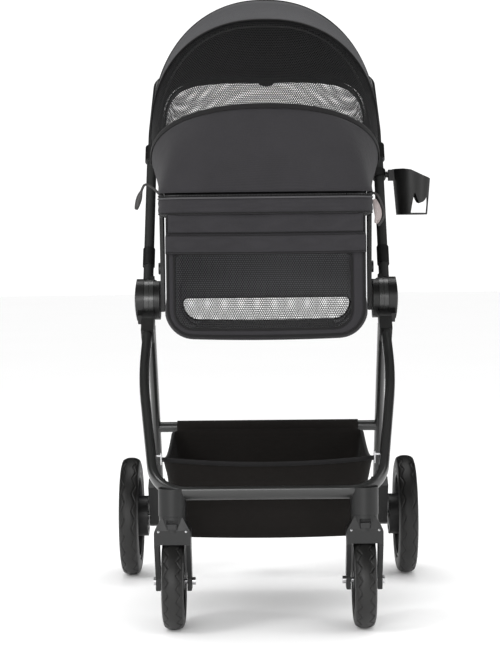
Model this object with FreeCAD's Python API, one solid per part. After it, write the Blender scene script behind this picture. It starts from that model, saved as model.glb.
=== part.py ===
import FreeCAD, Part

# Pet stroller: a folding tube chassis on four wheels, with a lift-off fabric cabin under a
# folding canopy. All lengths are in millimetres. The front faces -Y and +Z is up. The
# origin is on the floor, in the middle plane and midway between the front and rear axles,
# straight below the hubs. "right" is +X, the right side as seen from in front.

import math
import os

V = FreeCAD.Vector
ALONG_X = V(1, 0, 0)

# ---------------------------------------------------------------- driving dimensions
wheelbase = 550.0
hub_height = 560.0
tube_plane = 217.0            # |x| of the chassis tubes at the hubs

front_wheel_diameter = 165.0
rear_wheel_diameter = 235.0
tyre_width = 38.0
front_wheel_x = 163.0
rear_wheel_x = 276.0
caster_trail = 30.0
crossbar_ahead = 5.0          # of the caster axis
crossbar_y = -wheelbase / 2 - caster_trail - crossbar_ahead

leg_width = 18.0              # oval tube of the front frame
leg_depth = 30.0
leg_wall = 2.0
crossbar_height = 238.0
crossbar_half_width = 192.5
leg_bow_x = 221.5             # the legs bow outward to here
leg_bow_share = 0.43          # of the way down the leg
crossbar_corner = 62.0

rear_leg_width = 17.0
rear_leg_depth = 24.0
rear_tube_radius = 10.0
cross_tube_share = 0.57       # of the way down the rear leg
axle_radius = 5.0

hub_radius = 39.0
hub_pin_radius = 8.0
hub_arm_reach = 64.0          # the legs start this far from the hub axis
handle_arm_reach = 47.0       # and the handle tubes this far
hub_arm_half_width = 9.0

handle_lean = 33.0            # degrees back from upright
handle_tube_x = 220.5
handle_radius = 9.5
handle_wall = 1.5
lower_handle_length = 330.0
handle_elbow_reach = 385.0
crossgrip_y = 440.0
crossgrip_height = 1022.0
grip_radius = 15.0
grip_length = 300.0

cabin_half_width = 176.0
cabin_front = -247.0
cabin_rear = 200.0
cabin_bottom = 498.0
cabin_top = 710.0
cabin_wall = 3.0
cabin_edge_radius = 48.0      # seen from in front, along the lower edges
cabin_corner_radius = 34.0    # seen from above
rim_half_width = 187.5
rim_height = 30.0
rim_tube_radius = 6.0
window_half_width = 152.0
window_low = 515.0
window_high = 644.0
rear_window_high = 560.0
window_corner = 22.0
rear_window_corner = 16.0
board_thickness = 2.5
cushion_thickness = 10.0

canopy_half_width = 207.0
canopy_skin = 2.0
canopy_crest = 1113.0
canopy_pivot_y = -20.0
canopy_pivot_height = 795.0

cup_diameter = 75.0
cup_foot_diameter = 60.0
cup_depth = 88.0
cup_slope = 20.0              # the rim drops this much on its outer side
cup_wall = 2.6
cup_reach = 280.0             # from the hub, along the handle tube

basket_half_width = 183.0
basket_wall = 4.0
basket_floor = 143.0

running_gap = 0.06            # radial, shafts in bores
slide_gap = 0.3
face_gap = 0.4                # between faces that pass each other
fit_gap = 0.05                # between pieces fixed together

front_axle = V(0, -wheelbase / 2, front_wheel_diameter / 2)
rear_axle = V(0, wheelbase / 2, rear_wheel_diameter / 2)
hub = V(0, 0, hub_height)
swivel_y = front_axle.y - caster_trail


# ---------------------------------------------------------------- helpers
def box(x, y, z):
    """A block between two bounds on each axis."""
    return Part.makeBox(x[1] - x[0], y[1] - y[0], z[1] - z[0], V(x[0], y[0], z[0]))


def rod(radius, start, end):
    """A round bar between two points."""
    return Part.makeCylinder(radius, (end - start).Length, start, end - start)


def sleeve(outer, inner, start, end):
    """A round tube between two points."""
    return rod(outer, start, end).cut(rod(inner, start, end))


def disc(radius, x, centre):
    """A round plate across the X axis, between two x values."""
    return rod(radius, V(x[0], centre.y, centre.z), V(x[1], centre.y, centre.z))


def bent_path(points, radii, closed=False):
    """Straight runs joined by tangent arcs, one radius for each corner."""
    count = len(points)
    corners = range(count) if closed else range(1, count - 1)
    joints = {}
    for number, corner in enumerate(corners):
        point = points[corner]
        back = (points[corner - 1] - point).normalize()
        ahead = (points[(corner + 1) % count] - point).normalize()
        half = back.getAngle(ahead) / 2
        inward = (back + ahead).normalize()
        start = point + back * (radii[number] / math.tan(half))
        end = point + ahead * (radii[number] / math.tan(half))
        middle = point + inward * (radii[number] / math.sin(half) - radii[number])
        joints[corner] = (start, middle, end)
    edges = []
    for index in range(count if closed else count - 1):
        after = (index + 1) % count
        start = joints[index][2] if index in joints else points[index]
        end = joints[after][0] if after in joints else points[after]
        edges.append(Part.LineSegment(start, end).toShape())
        if after in joints:
            edges.append(Part.Arc(*joints[after]).toShape())
    return Part.Wire(edges)


def oval(centre, across, deep):
    """An oval outline; the two vectors are its half axes."""
    if across.Length > deep.Length:
        curve = Part.Ellipse(centre + across, centre + deep, centre)
    else:
        curve = Part.Ellipse(centre + deep, centre - across, centre)
    return Part.Wire([curve.toShape()])


def ring_outline(centre, normal, radius):
    return Part.Wire([Part.Circle(centre, normal, radius).toShape()])


def sweep(path, outline, binormal=None):
    """A solid swept along a path."""
    maker = Part.BRepOffsetAPI.MakePipeShell(path)
    if binormal:
        maker.setBiNormalMode(binormal)
    maker.add(outline)
    maker.build()
    maker.makeSolid()
    return maker.shape()


def plate(points, x):
    """A flat plate across X whose outline is given as (y, z) points."""
    corners = [V(x[0], y, z) for y, z in points]
    face = Part.Face(Part.makePolygon(corners + corners[:1]))
    return face.extrude(V(x[1] - x[0], 0, 0))


def rounded_block(x, y, z, radius, upright=True):
    """A block with its upright edges rounded, or those along Y when not upright."""
    if upright:
        flat = [V(x[0], y[0], z[0]), V(x[1], y[0], z[0]), V(x[1], y[1], z[0]), V(x[0], y[1], z[0])]
        rise = V(0, 0, z[1] - z[0])
    else:
        flat = [V(x[0], y[0], z[0]), V(x[1], y[0], z[0]), V(x[1], y[0], z[1]), V(x[0], y[0], z[1])]
        rise = V(0, y[1] - y[0], 0)
    return Part.Face(bent_path(flat, [radius] * 4, closed=True)).extrude(rise)


def turned(outline, centre):
    """A body of revolution about X; the outline is (x, radius) points round a section."""
    points = [V(centre.x + x, centre.y, centre.z + radius) for x, radius in outline]
    face = Part.Face(Part.makePolygon(points + points[:1]))
    return face.revolve(centre, ALONG_X, 360)


def fuse(*shapes):
    whole = shapes[0]
    for shape in shapes[1:]:
        whole = whole.fuse(shape)
    return whole.removeSplitter()


def mirrored(shape):
    return shape.mirror(V(0, 0, 0), ALONG_X)


def both(shape):
    """The shape and its mirror image, as two separate solids."""
    return Part.makeCompound([shape, mirrored(shape)])


def save(name, shape):
    shape.exportStep("parts/" + name + ".step")


def save_pair(name, right_shape):
    """Two nodes, the right one as given and the left one mirrored."""
    save(name + "_right", right_shape)
    save(name + "_left", mirrored(right_shape))


def from_hub(direction, distance, x=0.0):
    return V(x, hub.y, hub.z) + direction * distance


os.makedirs("parts", exist_ok=True)

# Directions of the three tubes that meet at each hub, in the YZ plane.
front_leg_length = math.hypot(crossbar_y, hub_height - crossbar_height)
front_down = V(0, crossbar_y, crossbar_height - hub_height).normalize()
front_normal = front_down.cross(ALONG_X)
rear_leg_length = (rear_axle - hub).Length
rear_down = (rear_axle - hub).normalize()
rear_normal = rear_down.cross(ALONG_X)
lean = math.radians(handle_lean)
handle_up = V(0, math.sin(lean), math.cos(lean))


# ---------------------------------------------------------------- front frame
def front_frame_tube(width, depth):
    """The U-shaped front tube: down one leg, across the front and up the other."""
    right = [
        from_hub(front_down, hub_arm_reach, tube_plane),
        from_hub(front_down, front_leg_length * leg_bow_share, leg_bow_x),
        from_hub(front_down, front_leg_length, crossbar_half_width),
    ]
    left = [V(-point.x, point.y, point.z) for point in reversed(right)]
    bends = [700.0, crossbar_corner, crossbar_corner, 700.0]
    path = bent_path(right + left, bends)
    start = (right[1] - right[0]).normalize()
    across = front_normal.cross(start).normalize()
    outline = oval(right[0], across * (width / 2), front_normal * (depth / 2))
    return sweep(path, outline, front_normal)


front_tube_outer = front_frame_tube(leg_width, leg_depth)
front_tube = front_tube_outer.cut(front_frame_tube(leg_width - 2 * leg_wall, leg_depth - 2 * leg_wall))
save("front_frame", front_tube)

# Each hub is a stack of plates on one pin. From the middle outward: the carrier receiver,
# the handle's plate, the rear leg's plate and the front frame's domed housing.
receiver_x = (197.0, 208.0)
handle_plate_x = (receiver_x[1] + face_gap, 216.5)
rear_plate_x = (handle_plate_x[1] + face_gap, 225.5)
housing_x = (rear_plate_x[1] + face_gap, 240.0)
dome_height = 4.5
hub_bore = hub_pin_radius + running_gap


def hub_housing():
    """Domed outer housing with the socket that holds the top of the front leg."""
    cap = disc(hub_radius, housing_x, hub)
    dome_radius = (hub_radius ** 2 + dome_height ** 2) / (2 * dome_height)
    ball = Part.makeSphere(dome_radius, V(housing_x[1] + dome_height - dome_radius, hub.y, hub.z))
    dome = ball.common(disc(hub_radius - 3, (housing_x[1], housing_x[1] + 20), hub))
    socket_low = from_hub(front_down, hub_radius + 3)
    socket_high = from_hub(front_down, hub_arm_reach + 28)
    side = front_normal * (leg_depth / 2 + 3)
    narrow = front_normal * (hub_arm_half_width + 3)
    waist = from_hub(front_down, hub_arm_reach - 2)
    outline = [socket_low - narrow, waist - side, socket_high - side,
               socket_high + side, waist + side, socket_low + narrow]
    inner = handle_plate_x[0]
    socket = plate([(p.y, p.z) for p in outline], (inner - 2.6, tube_plane + leg_width / 2 + 3))
    bridge_start = from_hub(front_down, 15)
    bridge_end = from_hub(front_down, hub_arm_reach - 14)
    bridge_points = [bridge_start - narrow, bridge_end - narrow, bridge_end + narrow, bridge_start + narrow]
    bridge = plate([(p.y, p.z) for p in bridge_points], (housing_x[0], housing_x[1] - 3))
    body = fuse(cap, dome, bridge, socket)
    return body.cut(front_tube_outer).cut(disc(hub_pin_radius, (190, housing_x[1] - 5), hub))


save("hub_housings", both(hub_housing()))

receiver_radius = hub_radius - 2
receiver = disc(receiver_radius, receiver_x, hub)
tongue_half_width = 11.7
tongue_x = (195.0, receiver_x[0] + 6.8)
tongue_low = hub.z - 18
slot = box((receiver_x[0] - 1, tongue_x[1] + slide_gap),
           (-tongue_half_width - slide_gap, tongue_half_width + slide_gap),
           (tongue_low - slide_gap, hub.z + 40))
receiver = receiver.cut(slot).cut(disc(hub_pin_radius, (tongue_x[1] + slide_gap, 210), hub))
save("carrier_receivers", both(receiver))
save("hub_pins", both(disc(hub_pin_radius - fit_gap, (tongue_x[1] + 1.5, housing_x[1] - 5.5), hub)))


def hub_arm(direction, x, reach):
    """A flat plate round the hub pin, with an arm out to a tube."""
    normal = direction.cross(ALONG_X)
    side = normal * hub_arm_half_width
    tip = from_hub(direction, reach)
    points = [hub - side, tip - side, tip + side, hub + side]
    arm = plate([(p.y, p.z) for p in points], x)
    return fuse(disc(hub_radius - 1, x, hub), arm).cut(disc(hub_bore, (x[0] - 1, x[1] + 1), hub))


# ---------------------------------------------------------------- rear frame
def rear_leg():
    top = from_hub(rear_down, hub_arm_reach, tube_plane)
    foot = from_hub(rear_down, rear_leg_length - 12, tube_plane)
    path = Part.Wire([Part.LineSegment(top, foot).toShape()])
    half = V(rear_leg_width / 2, 0, 0)
    deep = rear_normal * (rear_leg_depth / 2)
    tube = sweep(path, oval(top, half, deep))
    bore_half = half * (1 - 2 * leg_wall / rear_leg_width)
    bore_deep = deep * (1 - 2 * leg_wall / rear_leg_depth)
    tube = tube.cut(sweep(path, oval(top, bore_half, bore_deep)))
    plug_start = from_hub(rear_down, hub_arm_reach - 4, tube_plane)
    plug_end = from_hub(rear_down, hub_arm_reach + 6, tube_plane)
    plug_path = Part.Wire([Part.LineSegment(plug_start, plug_end).toShape()])
    plug = sweep(plug_path, oval(plug_start, half, deep))
    return fuse(hub_arm(rear_down, rear_plate_x, hub_arm_reach), plug, tube), top, foot


rear_leg_solid, rear_leg_top, rear_leg_foot = rear_leg()
cross_tube_centre = from_hub(rear_down, rear_leg_length * cross_tube_share)
cross_end = tube_plane - rear_leg_width / 2 + 4
cross_cut = disc(rear_tube_radius + fit_gap, (-cross_end, cross_end), cross_tube_centre)
rear_leg_solid = rear_leg_solid.cut(cross_cut)
save("rear_cross_tube", sleeve(rear_tube_radius, rear_tube_radius - 1.5,
                               V(-cross_end + 0.1, cross_tube_centre.y, cross_tube_centre.z),
                               V(cross_end - 0.1, cross_tube_centre.y, cross_tube_centre.z)))

bracket_x = (206.0, 239.0)
bracket_half = 21.0
brake_bar_radius = 5.0
brake_bar_centre = V(0, rear_axle.y + 6, rear_axle.z + 34)
brake_pin_radius = 4.0
brake_pin_centre = rear_axle + V(0, -22, 18)
leg_outer = rear_leg_width / 2 + fit_gap


def rear_bracket():
    """Moulded block that joins the rear leg, the axle, the brake bar and a brake pin."""
    side = rear_normal * bracket_half
    high = from_hub(rear_down, rear_leg_length - 84)
    low = from_hub(rear_down, rear_leg_length + 4)
    outline = [high - side * 0.7, low - side, low + side, high + side * 0.7]
    block = plate([(p.y, p.z) for p in outline], bracket_x)
    block = fuse(block, disc(bracket_half, bracket_x, rear_axle),
                 disc(11, bracket_x, brake_bar_centre), disc(9, bracket_x, brake_pin_centre))
    path = Part.Wire([Part.LineSegment(rear_leg_top, rear_leg_foot + rear_down * 0.3).toShape()])
    hole = sweep(path, oval(rear_leg_top, V(leg_outer, 0, 0),
                            rear_normal * (rear_leg_depth / 2 + fit_gap)))
    block = block.cut(hole)
    block = block.cut(disc(brake_bar_radius + running_gap, (0, bracket_x[0] + 8), brake_bar_centre))
    block = block.cut(disc(brake_pin_radius + running_gap, (bracket_x[1] - 14, 260), brake_pin_centre))
    return block.cut(disc(axle_radius + fit_gap, (200, 260), rear_axle))


rear_leg_solid = rear_leg_solid.cut(disc(axle_radius + 1, (200, 240), rear_axle))
save("rear_legs", both(rear_leg_solid))
save("rear_brackets", both(rear_bracket()))
save("rear_axle_pins", both(fuse(disc(axle_radius, (bracket_x[0] + 1, rear_wheel_x + 22), rear_axle),
                                 disc(axle_radius + 4, (rear_wheel_x + 18.4, rear_wheel_x + 22), rear_axle))))

pedal_half_width = 34.0
brake_bar_end = bracket_x[0] + 7
save("brake_bar", disc(brake_bar_radius, (-brake_bar_end, brake_bar_end), brake_bar_centre))
pedal_y = brake_bar_centre.y
pedal_z = brake_bar_centre.z
pedal = rounded_block((-pedal_half_width, pedal_half_width), (pedal_y - 9, pedal_y + 62),
                      (pedal_z - 5, pedal_z + 6), 8)
pedal = fuse(pedal, disc(10, (-pedal_half_width, pedal_half_width), brake_bar_centre))
save("brake_pedal", pedal.cut(disc(brake_bar_radius + fit_gap, (-50, 50), brake_bar_centre)))
save_pair("brake_pin", disc(brake_pin_radius, (bracket_x[1] - 13, bracket_x[1] + 1), brake_pin_centre))


# ---------------------------------------------------------------- wheels
def tyre(diameter, depth):
    """Air-free tyre with a rounded crown."""
    outer = diameter / 2
    half = tyre_width / 2
    profile = [(-half + 4, outer - depth), (-half, outer - depth + 5), (-half, outer - 11),
               (-half + 3, outer - 5), (-half + 9, outer - 1.2), (0, outer),
               (half - 9, outer - 1.2), (half - 3, outer - 5), (half, outer - 11),
               (half, outer - depth + 5), (half - 4, outer - depth)]
    return profile


def wheel_rim(diameter, depth, spoke_count, centre, bore):
    """Moulded rim with a barrel, a hub and flat spokes."""
    seat = diameter / 2 - depth - fit_gap
    half = tyre_width / 2 - 4
    barrel = turned([(-half, seat), (-half, seat - 5), (half, seat - 5), (half, seat)], centre)
    boss = turned([(-half - 3, bore), (-half - 3, 15), (half + 3, 15), (half + 3, bore)], centre)
    rim = fuse(barrel, boss)
    for number in range(spoke_count):
        spoke = box((centre.x - 8, centre.x + 8), (centre.y - 5, centre.y + 5),
                    (centre.z + 13, centre.z + seat - 3))
        spoke.rotate(centre, ALONG_X, 360.0 * number / spoke_count)
        rim = rim.fuse(spoke)
    return rim.removeSplitter()


front_tyre_depth = 24.0
rear_tyre_depth = 32.0
front_bolt_radius = 4.0
front_centre = front_axle + V(front_wheel_x, 0, 0)
rear_centre = rear_axle + V(rear_wheel_x, 0, 0)
save_pair("front_tyre", turned(tyre(front_wheel_diameter, front_tyre_depth), front_centre))
save_pair("front_rim", wheel_rim(front_wheel_diameter, front_tyre_depth, 6, front_centre,
                                 front_bolt_radius + running_gap))
save_pair("rear_tyre", turned(tyre(rear_wheel_diameter, rear_tyre_depth), rear_centre))

# The rear rim's inner face carries a ring of notches that the brake pin enters.
brake_ring_x = (bracket_x[1] + 3, rear_wheel_x - tyre_width / 2 + 5)
pin_reach = math.hypot(brake_pin_centre.y - rear_axle.y, brake_pin_centre.z - rear_axle.z)
notch_count = 16
brake_ring = disc(pin_reach + 12, brake_ring_x, rear_axle)
brake_ring = brake_ring.cut(disc(axle_radius + running_gap, (200, 300), rear_axle))
notch = disc(brake_pin_radius + 0.8, (brake_ring_x[0] - 1, brake_ring_x[0] + 6), brake_pin_centre)
for number in range(notch_count):
    turned_notch = notch.copy()
    turned_notch.rotate(rear_axle, ALONG_X, 360.0 * number / notch_count)
    brake_ring = brake_ring.cut(turned_notch)
rear_rim = wheel_rim(rear_wheel_diameter, rear_tyre_depth, 8, rear_centre, axle_radius + running_gap)
save_pair("rear_rim", fuse(rear_rim, brake_ring))

# ---------------------------------------------------------------- casters
housing_radius = 24.0
housing_low = 200.0
stem_radius = 6.0
neck_radius = 23.0
crown_low = 151.0              # top of the gap between the legs
crown_high = 177.0
neck_high = housing_low - face_gap
fork_inner = 23.0
fork_outer = 31.0
wheel_clearance = 3.5
caster_x = front_wheel_x


def upright(radius, z, y=swivel_y, x=caster_x):
    return rod(radius, V(x, y, z[0]), V(x, y, z[1]))


def caster_housing():
    """Round housing moulded round the corner of the front tube."""
    body = upright(housing_radius, (housing_low, crossbar_height + 9))
    body = body.cut(front_tube_outer)
    body = max(body.Solids, key=lambda solid: solid.Volume)
    return body.cut(upright(stem_radius + running_gap, (housing_low - 1, housing_low + 21)))


save("caster_housings", both(caster_housing()))


def fork():
    """Swivelling fork: pressed-in stem, round neck, arched crown and two legs."""
    foot_z = front_axle.z - 15
    ahead = [V(-fork_outer, 0, foot_z), V(fork_outer, 0, foot_z),
             V(fork_outer, 0, crown_high - 2), V(neck_radius - 6, 0, neck_high),
             V(-neck_radius + 6, 0, neck_high), V(-fork_outer, 0, crown_high - 2)]
    ahead = [point + V(caster_x, swivel_y - 60, 0) for point in ahead]
    seen_ahead = Part.Face(bent_path(ahead, [2.0, 2.0, 14.0, 4.0, 4.0, 14.0], closed=True))
    seen_ahead = seen_ahead.extrude(V(0, 140, 0))
    outline = [(swivel_y - 16, neck_high), (swivel_y - 22, crown_high), (swivel_y - 20, crown_low),
               (front_axle.y - 13, front_axle.z + 6), (front_axle.y - 13, foot_z),
               (front_axle.y + 13, foot_z), (front_axle.y + 13, front_axle.z + 8),
               (swivel_y + 25, crown_low), (swivel_y + 22, crown_high), (swivel_y + 16, neck_high)]
    body = seen_ahead.common(plate(outline, (caster_x - 40, caster_x + 40)))
    body = body.fuse(upright(neck_radius, (crown_high - 4, neck_high)))
    gap = rounded_block((caster_x - fork_inner, caster_x + fork_inner), (swivel_y - 60, swivel_y + 80),
                        (foot_z - 30, crown_low), 13, upright=False)
    pocket = disc(front_wheel_diameter / 2 + wheel_clearance,
                  (caster_x - fork_inner, caster_x + fork_inner), front_axle)
    body = body.cut(gap).cut(pocket)
    body = body.cut(disc(front_bolt_radius + fit_gap, (caster_x - 50, caster_x + 50), front_axle))
    button_hole = box((caster_x - 9.3, caster_x + 9.3), (swivel_y - 40, swivel_y - 12),
                      (crown_high + 1.5, crown_high + 17.5))
    stem = upright(stem_radius, (crown_high, housing_low + 20))
    return fuse(body.cut(button_hole), stem)


save_pair("fork", fork())
lock_button = rounded_block((caster_x - 9, caster_x + 9), (swivel_y - 25, swivel_y - 12.5),
                            (crown_high + 2, crown_high + 11), 3)
save_pair("swivel_lock", lock_button)

bolt = disc(front_bolt_radius, (caster_x - fork_outer - 5, caster_x + fork_outer + 1), front_axle)
bolt_head = disc(7, (caster_x + fork_outer + 0.1, caster_x + fork_outer + 4), front_axle)
bolt_nut = disc(6.5, (caster_x - fork_outer - 6, caster_x - fork_outer - 0.1), front_axle)
save_pair("front_axle_bolt", fuse(bolt, bolt_head, bolt_nut))

# ---------------------------------------------------------------- handle
handle_bore = handle_radius - handle_wall
upper_radius = handle_bore - running_gap
lower_start = from_hub(handle_up, handle_arm_reach, handle_tube_x)
lower_end = from_hub(handle_up, lower_handle_length, handle_tube_x)
lower_tube = sleeve(handle_radius, handle_bore, lower_start, lower_end)
foot_block = rod(handle_radius, from_hub(handle_up, handle_arm_reach - 6, handle_tube_x),
                 from_hub(handle_up, handle_arm_reach + 14, handle_tube_x))
handle_arm = hub_arm(handle_up, handle_plate_x, handle_arm_reach)
save("handle_lower_tubes", both(fuse(handle_arm, foot_block, lower_tube)))

collar_start = from_hub(handle_up, lower_handle_length - 14, handle_tube_x)
collar_end = from_hub(handle_up, lower_handle_length + 20, handle_tube_x)
collar = rod(handle_radius + 3.5, collar_start, collar_end)
collar = collar.cut(rod(handle_radius + fit_gap, collar_start, lower_end))
collar = collar.cut(rod(upper_radius + running_gap, collar_start, collar_end))
save("handle_collars", both(collar))

extension = 120.0             # handle travel; the tubes stay engaged past this
upper_start = from_hub(handle_up, lower_handle_length - extension - 50, handle_tube_x)
elbow = from_hub(handle_up, handle_elbow_reach, handle_tube_x)
corner = V(handle_tube_x, crossgrip_y, crossgrip_height)
upper_points = [upper_start, elbow, corner]
upper_points += [V(-point.x, point.y, point.z) for point in reversed(upper_points)]


def upper_handle(radius):
    path = bent_path(upper_points, [70.0, 62.0, 62.0, 70.0])
    return sweep(path, ring_outline(upper_start, handle_up, radius))


save("handle_upper", upper_handle(upper_radius).cut(upper_handle(upper_radius - handle_wall)))
grip_half = grip_length / 2
grip = sleeve(grip_radius, upper_radius + fit_gap, V(-grip_half, corner.y, corner.z),
              V(grip_half, corner.y, corner.z))
button_travel = 4.0
button_low = crossgrip_height + upper_radius + 1 + button_travel
button_high = crossgrip_height + grip_radius + 3
button_half = (14.0, 8.0)


def button_block(gap, low):
    """The height button's outline, or the pocket round it."""
    half_x = button_half[0] + gap
    half_y = button_half[1] + gap
    return rounded_block((-half_x, half_x), (crossgrip_y - half_y, crossgrip_y + half_y),
                         (low, button_high), 5 + gap)


save("handle_grip", grip.cut(button_block(slide_gap, button_low - button_travel - 0.5)))
save("height_button", button_block(0, button_low))

slider_start = from_hub(handle_up, handle_arm_reach + 27, handle_tube_x)
slider_end = slider_start + handle_up * 38
slider = rod(handle_radius + 1.9, slider_start, slider_end)
ledge_back = handle_up.cross(ALONG_X) * (handle_radius + 3)
ledge = rod(4.5, slider_start + handle_up * 8 + ledge_back, slider_start + handle_up * 32 + ledge_back)
slider = fuse(slider, ledge).cut(
    rod(handle_radius + slide_gap, slider_start - handle_up, slider_end + handle_up))
save_pair("fold_slider", slider)

# ---------------------------------------------------------------- cup holder
cup_x = handle_tube_x + 63
cup_top = cup_diameter / 2
cup_foot = cup_foot_diameter / 2
clamp_centre = from_hub(handle_up, cup_reach, handle_tube_x)
clamp = rod(handle_radius + 3.5, clamp_centre - handle_up * 9, clamp_centre + handle_up * 9)
clamp = fuse(clamp, rod(6, clamp_centre, V(238, clamp_centre.y, clamp_centre.z)))
clamp = clamp.cut(rod(handle_radius + fit_gap, clamp_centre - handle_up * 10, clamp_centre + handle_up * 10))
stub_radius = 4.0
clamp = fuse(clamp, rod(stub_radius, V(237, clamp_centre.y, clamp_centre.z),
                        V(244, clamp_centre.y, clamp_centre.z)))
save("cup_clamp", clamp)

cup_rim_z = clamp_centre.z + 10
cup_base_z = cup_rim_z - cup_depth
cup_axis = V(0, 0, 1)
cup_place = V(cup_x, clamp_centre.y, cup_base_z)
cup = Part.makeCone(cup_foot, cup_top, cup_depth, cup_place, cup_axis)
hollow = Part.makeCone(cup_foot - cup_wall, cup_top - cup_wall, cup_depth,
                       cup_place + V(0, 0, cup_wall), cup_axis)
back = box((238.5, 252), (clamp_centre.y - 13, clamp_centre.y + 13),
           (clamp_centre.z - 12, clamp_centre.z + 9))
cup = cup.fuse(back).cut(hollow)


def cup_cutter(points):
    """A prism through the cup from front to back; points are (x, z) from the middle of its foot."""
    corners = [V(cup_x + x, clamp_centre.y - 60, cup_base_z + z) for x, z in points]
    return Part.Face(Part.makePolygon(corners + corners[:1])).extrude(V(0, 120, 0))


slope = [(-18, cup_depth), (-4, cup_depth - 2), (20, cup_depth - 13), (40, cup_depth - cup_slope),
         (40, cup_depth + 2), (-18, cup_depth + 2)]
scallop = [(-4, 3), (28, 3), (29.5, 20), (30, 35), (27.5, 33), (24, 27.5), (20, 23.8), (15.5, 22.5),
           (11.5, 24.5), (8.5, 30), (6, 37), (4.5, 41), (2.5, 39.5), (1, 32), (-1.5, 18)]
cup = cup.cut(cup_cutter(slope)).cut(cup_cutter(scallop))
cup = cup.cut(disc(stub_radius + running_gap, (230, 244.5), clamp_centre))
save("cup_holder", cup.removeSplitter())

# ---------------------------------------------------------------- basket
hook_point = from_hub(front_down, front_leg_length * 0.8)
basket_front_top = (hook_point.y - 2, hook_point.z - 12)
basket_front_low = (-185.0, basket_floor)
basket_rear_low = (128.0, basket_floor)
basket_rear_top = (cross_tube_centre.y - rear_tube_radius - 5, cross_tube_centre.z - 6)
basket_side = [basket_front_top, basket_front_low, basket_rear_low, basket_rear_top]
outer = plate(basket_side, (-basket_half_width, basket_half_width))
inner_side = [(basket_front_top[0] + basket_wall * 1.1, basket_front_top[1] + 30),
              (basket_front_low[0] + basket_wall * 1.5, basket_floor + basket_wall),
              (basket_rear_low[0] - basket_wall * 1.5, basket_floor + basket_wall),
              (basket_rear_top[0] - basket_wall, basket_rear_top[1] + 30)]
inner = plate(inner_side, (-basket_half_width + basket_wall, basket_half_width - basket_wall))
basket = outer.cut(inner)
cuff_half = 176.0
cuff = sleeve(rear_tube_radius + 4, rear_tube_radius + slide_gap,
              V(-cuff_half, cross_tube_centre.y, cross_tube_centre.z),
              V(cuff_half, cross_tube_centre.y, cross_tube_centre.z))
web = box((-cuff_half, cuff_half), (basket_rear_top[0] - 3, basket_rear_top[0] + 6),
          (basket_rear_top[1] - 8, basket_rear_top[1] + 6))
web = web.cut(rod(rear_tube_radius + 2, V(-cuff_half, cross_tube_centre.y, cross_tube_centre.z),
                  V(cuff_half, cross_tube_centre.y, cross_tube_centre.z)))
save("basket", fuse(basket, web, cuff))

hook_x = (basket_half_width + 0.4, 200.0)
hook = fuse(box((hook_x[0], hook_x[0] + 2), (hook_point.y - 7, hook_point.y + 5),
                (hook_point.z - 22, hook_point.z - 2)),
            box(hook_x, (hook_point.y - 4, hook_point.y + 2), (hook_point.z - 8, hook_point.z - 5)))
hook = hook.cut(front_tube_outer)
hook = max(hook.Solids, key=lambda solid: solid.Volume)
save("basket_hooks", both(hook))


# ---------------------------------------------------------------- cabin
def cabin_block(inset, top):
    """The cabin's outer form, drawn in on every side by an inset."""
    half = cabin_half_width - inset
    low = cabin_bottom + inset
    seen_ahead = rounded_block((-half, half), (cabin_front + inset, cabin_rear - inset),
                               (low, low + 600), cabin_edge_radius - inset, upright=False)
    seen_above = rounded_block((-half, half), (cabin_front + inset, cabin_rear - inset),
                               (low, low + 600), cabin_corner_radius - inset)
    trim = box((-half - 1, half + 1), (cabin_front - 1, cabin_rear + 1), (low - 1, top))
    return seen_ahead.common(seen_above).common(trim)


cabin = cabin_block(0, cabin_top).cut(cabin_block(cabin_wall, cabin_top + 50))
front_opening = rounded_block((-window_half_width, window_half_width),
                              (cabin_front - 5, cabin_front + 25), (window_low, window_high),
                              window_corner, upright=False)
rear_opening = rounded_block((-window_half_width, window_half_width),
                             (cabin_rear - 25, cabin_rear + 5), (window_low, rear_window_high),
                             rear_window_corner, upright=False)
save("cabin_shell", cabin.cut(front_opening).cut(rear_opening))

pane = 1.2
edge = 0.3
front_pane = rounded_block((-window_half_width + edge, window_half_width - edge),
                           (cabin_front + 0.9, cabin_front + 0.9 + pane),
                           (window_low + edge, window_high - edge), window_corner - edge, upright=False)
rear_pane = rounded_block((-window_half_width + edge, window_half_width - edge),
                          (cabin_rear - 0.9 - pane, cabin_rear - 0.9),
                          (window_low + edge, rear_window_high - edge),
                          rear_window_corner - edge, upright=False)
save("window_mesh", Part.makeCompound([front_pane, rear_pane]))
flap_half_width = cabin_half_width - 4
save("window_flap", rounded_block((-flap_half_width, flap_half_width), (cabin_front - 4, cabin_front - 1),
                                  (window_high, cabin_top - 1), 6, upright=False))
board_low = cabin_bottom + cabin_wall + 0.2
board_half_width = cabin_half_width - cabin_edge_radius + 3
save("base_board", rounded_block((-board_half_width, board_half_width), (cabin_front + 12, cabin_rear - 12),
                                 (board_low, board_low + board_thickness), 20))
cushion_low = board_low + board_thickness + 0.3
cushion_half_width = board_half_width + 10
save("cushion", rounded_block((-cushion_half_width, cushion_half_width), (cabin_front + 14, cabin_rear - 14),
                              (cushion_low, cushion_low + cushion_thickness), 28))

rim_low = cabin_top + 1
rim_mid = rim_low + rim_height / 2
rim_band = 16.5
rim_front = cabin_front - 11
rim_rear = cabin_rear + 8
rim_corner = 46.0
rim_centre_inset = 8.5


def rim_outline(inset, z):
    """Rounded rectangle round the top of the cabin."""
    half = rim_half_width - inset
    return bent_path([V(-half, rim_front + inset, z), V(half, rim_front + inset, z),
                      V(half, rim_rear - inset, z), V(-half, rim_rear - inset, z)],
                     [rim_corner - inset] * 4, closed=True)


def rim_tube(radius):
    path = rim_outline(rim_centre_inset, rim_mid)
    first = path.OrderedVertexes[0].Point
    second = path.OrderedVertexes[1].Point
    return sweep(path, ring_outline(first, second - first, radius))


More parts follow.
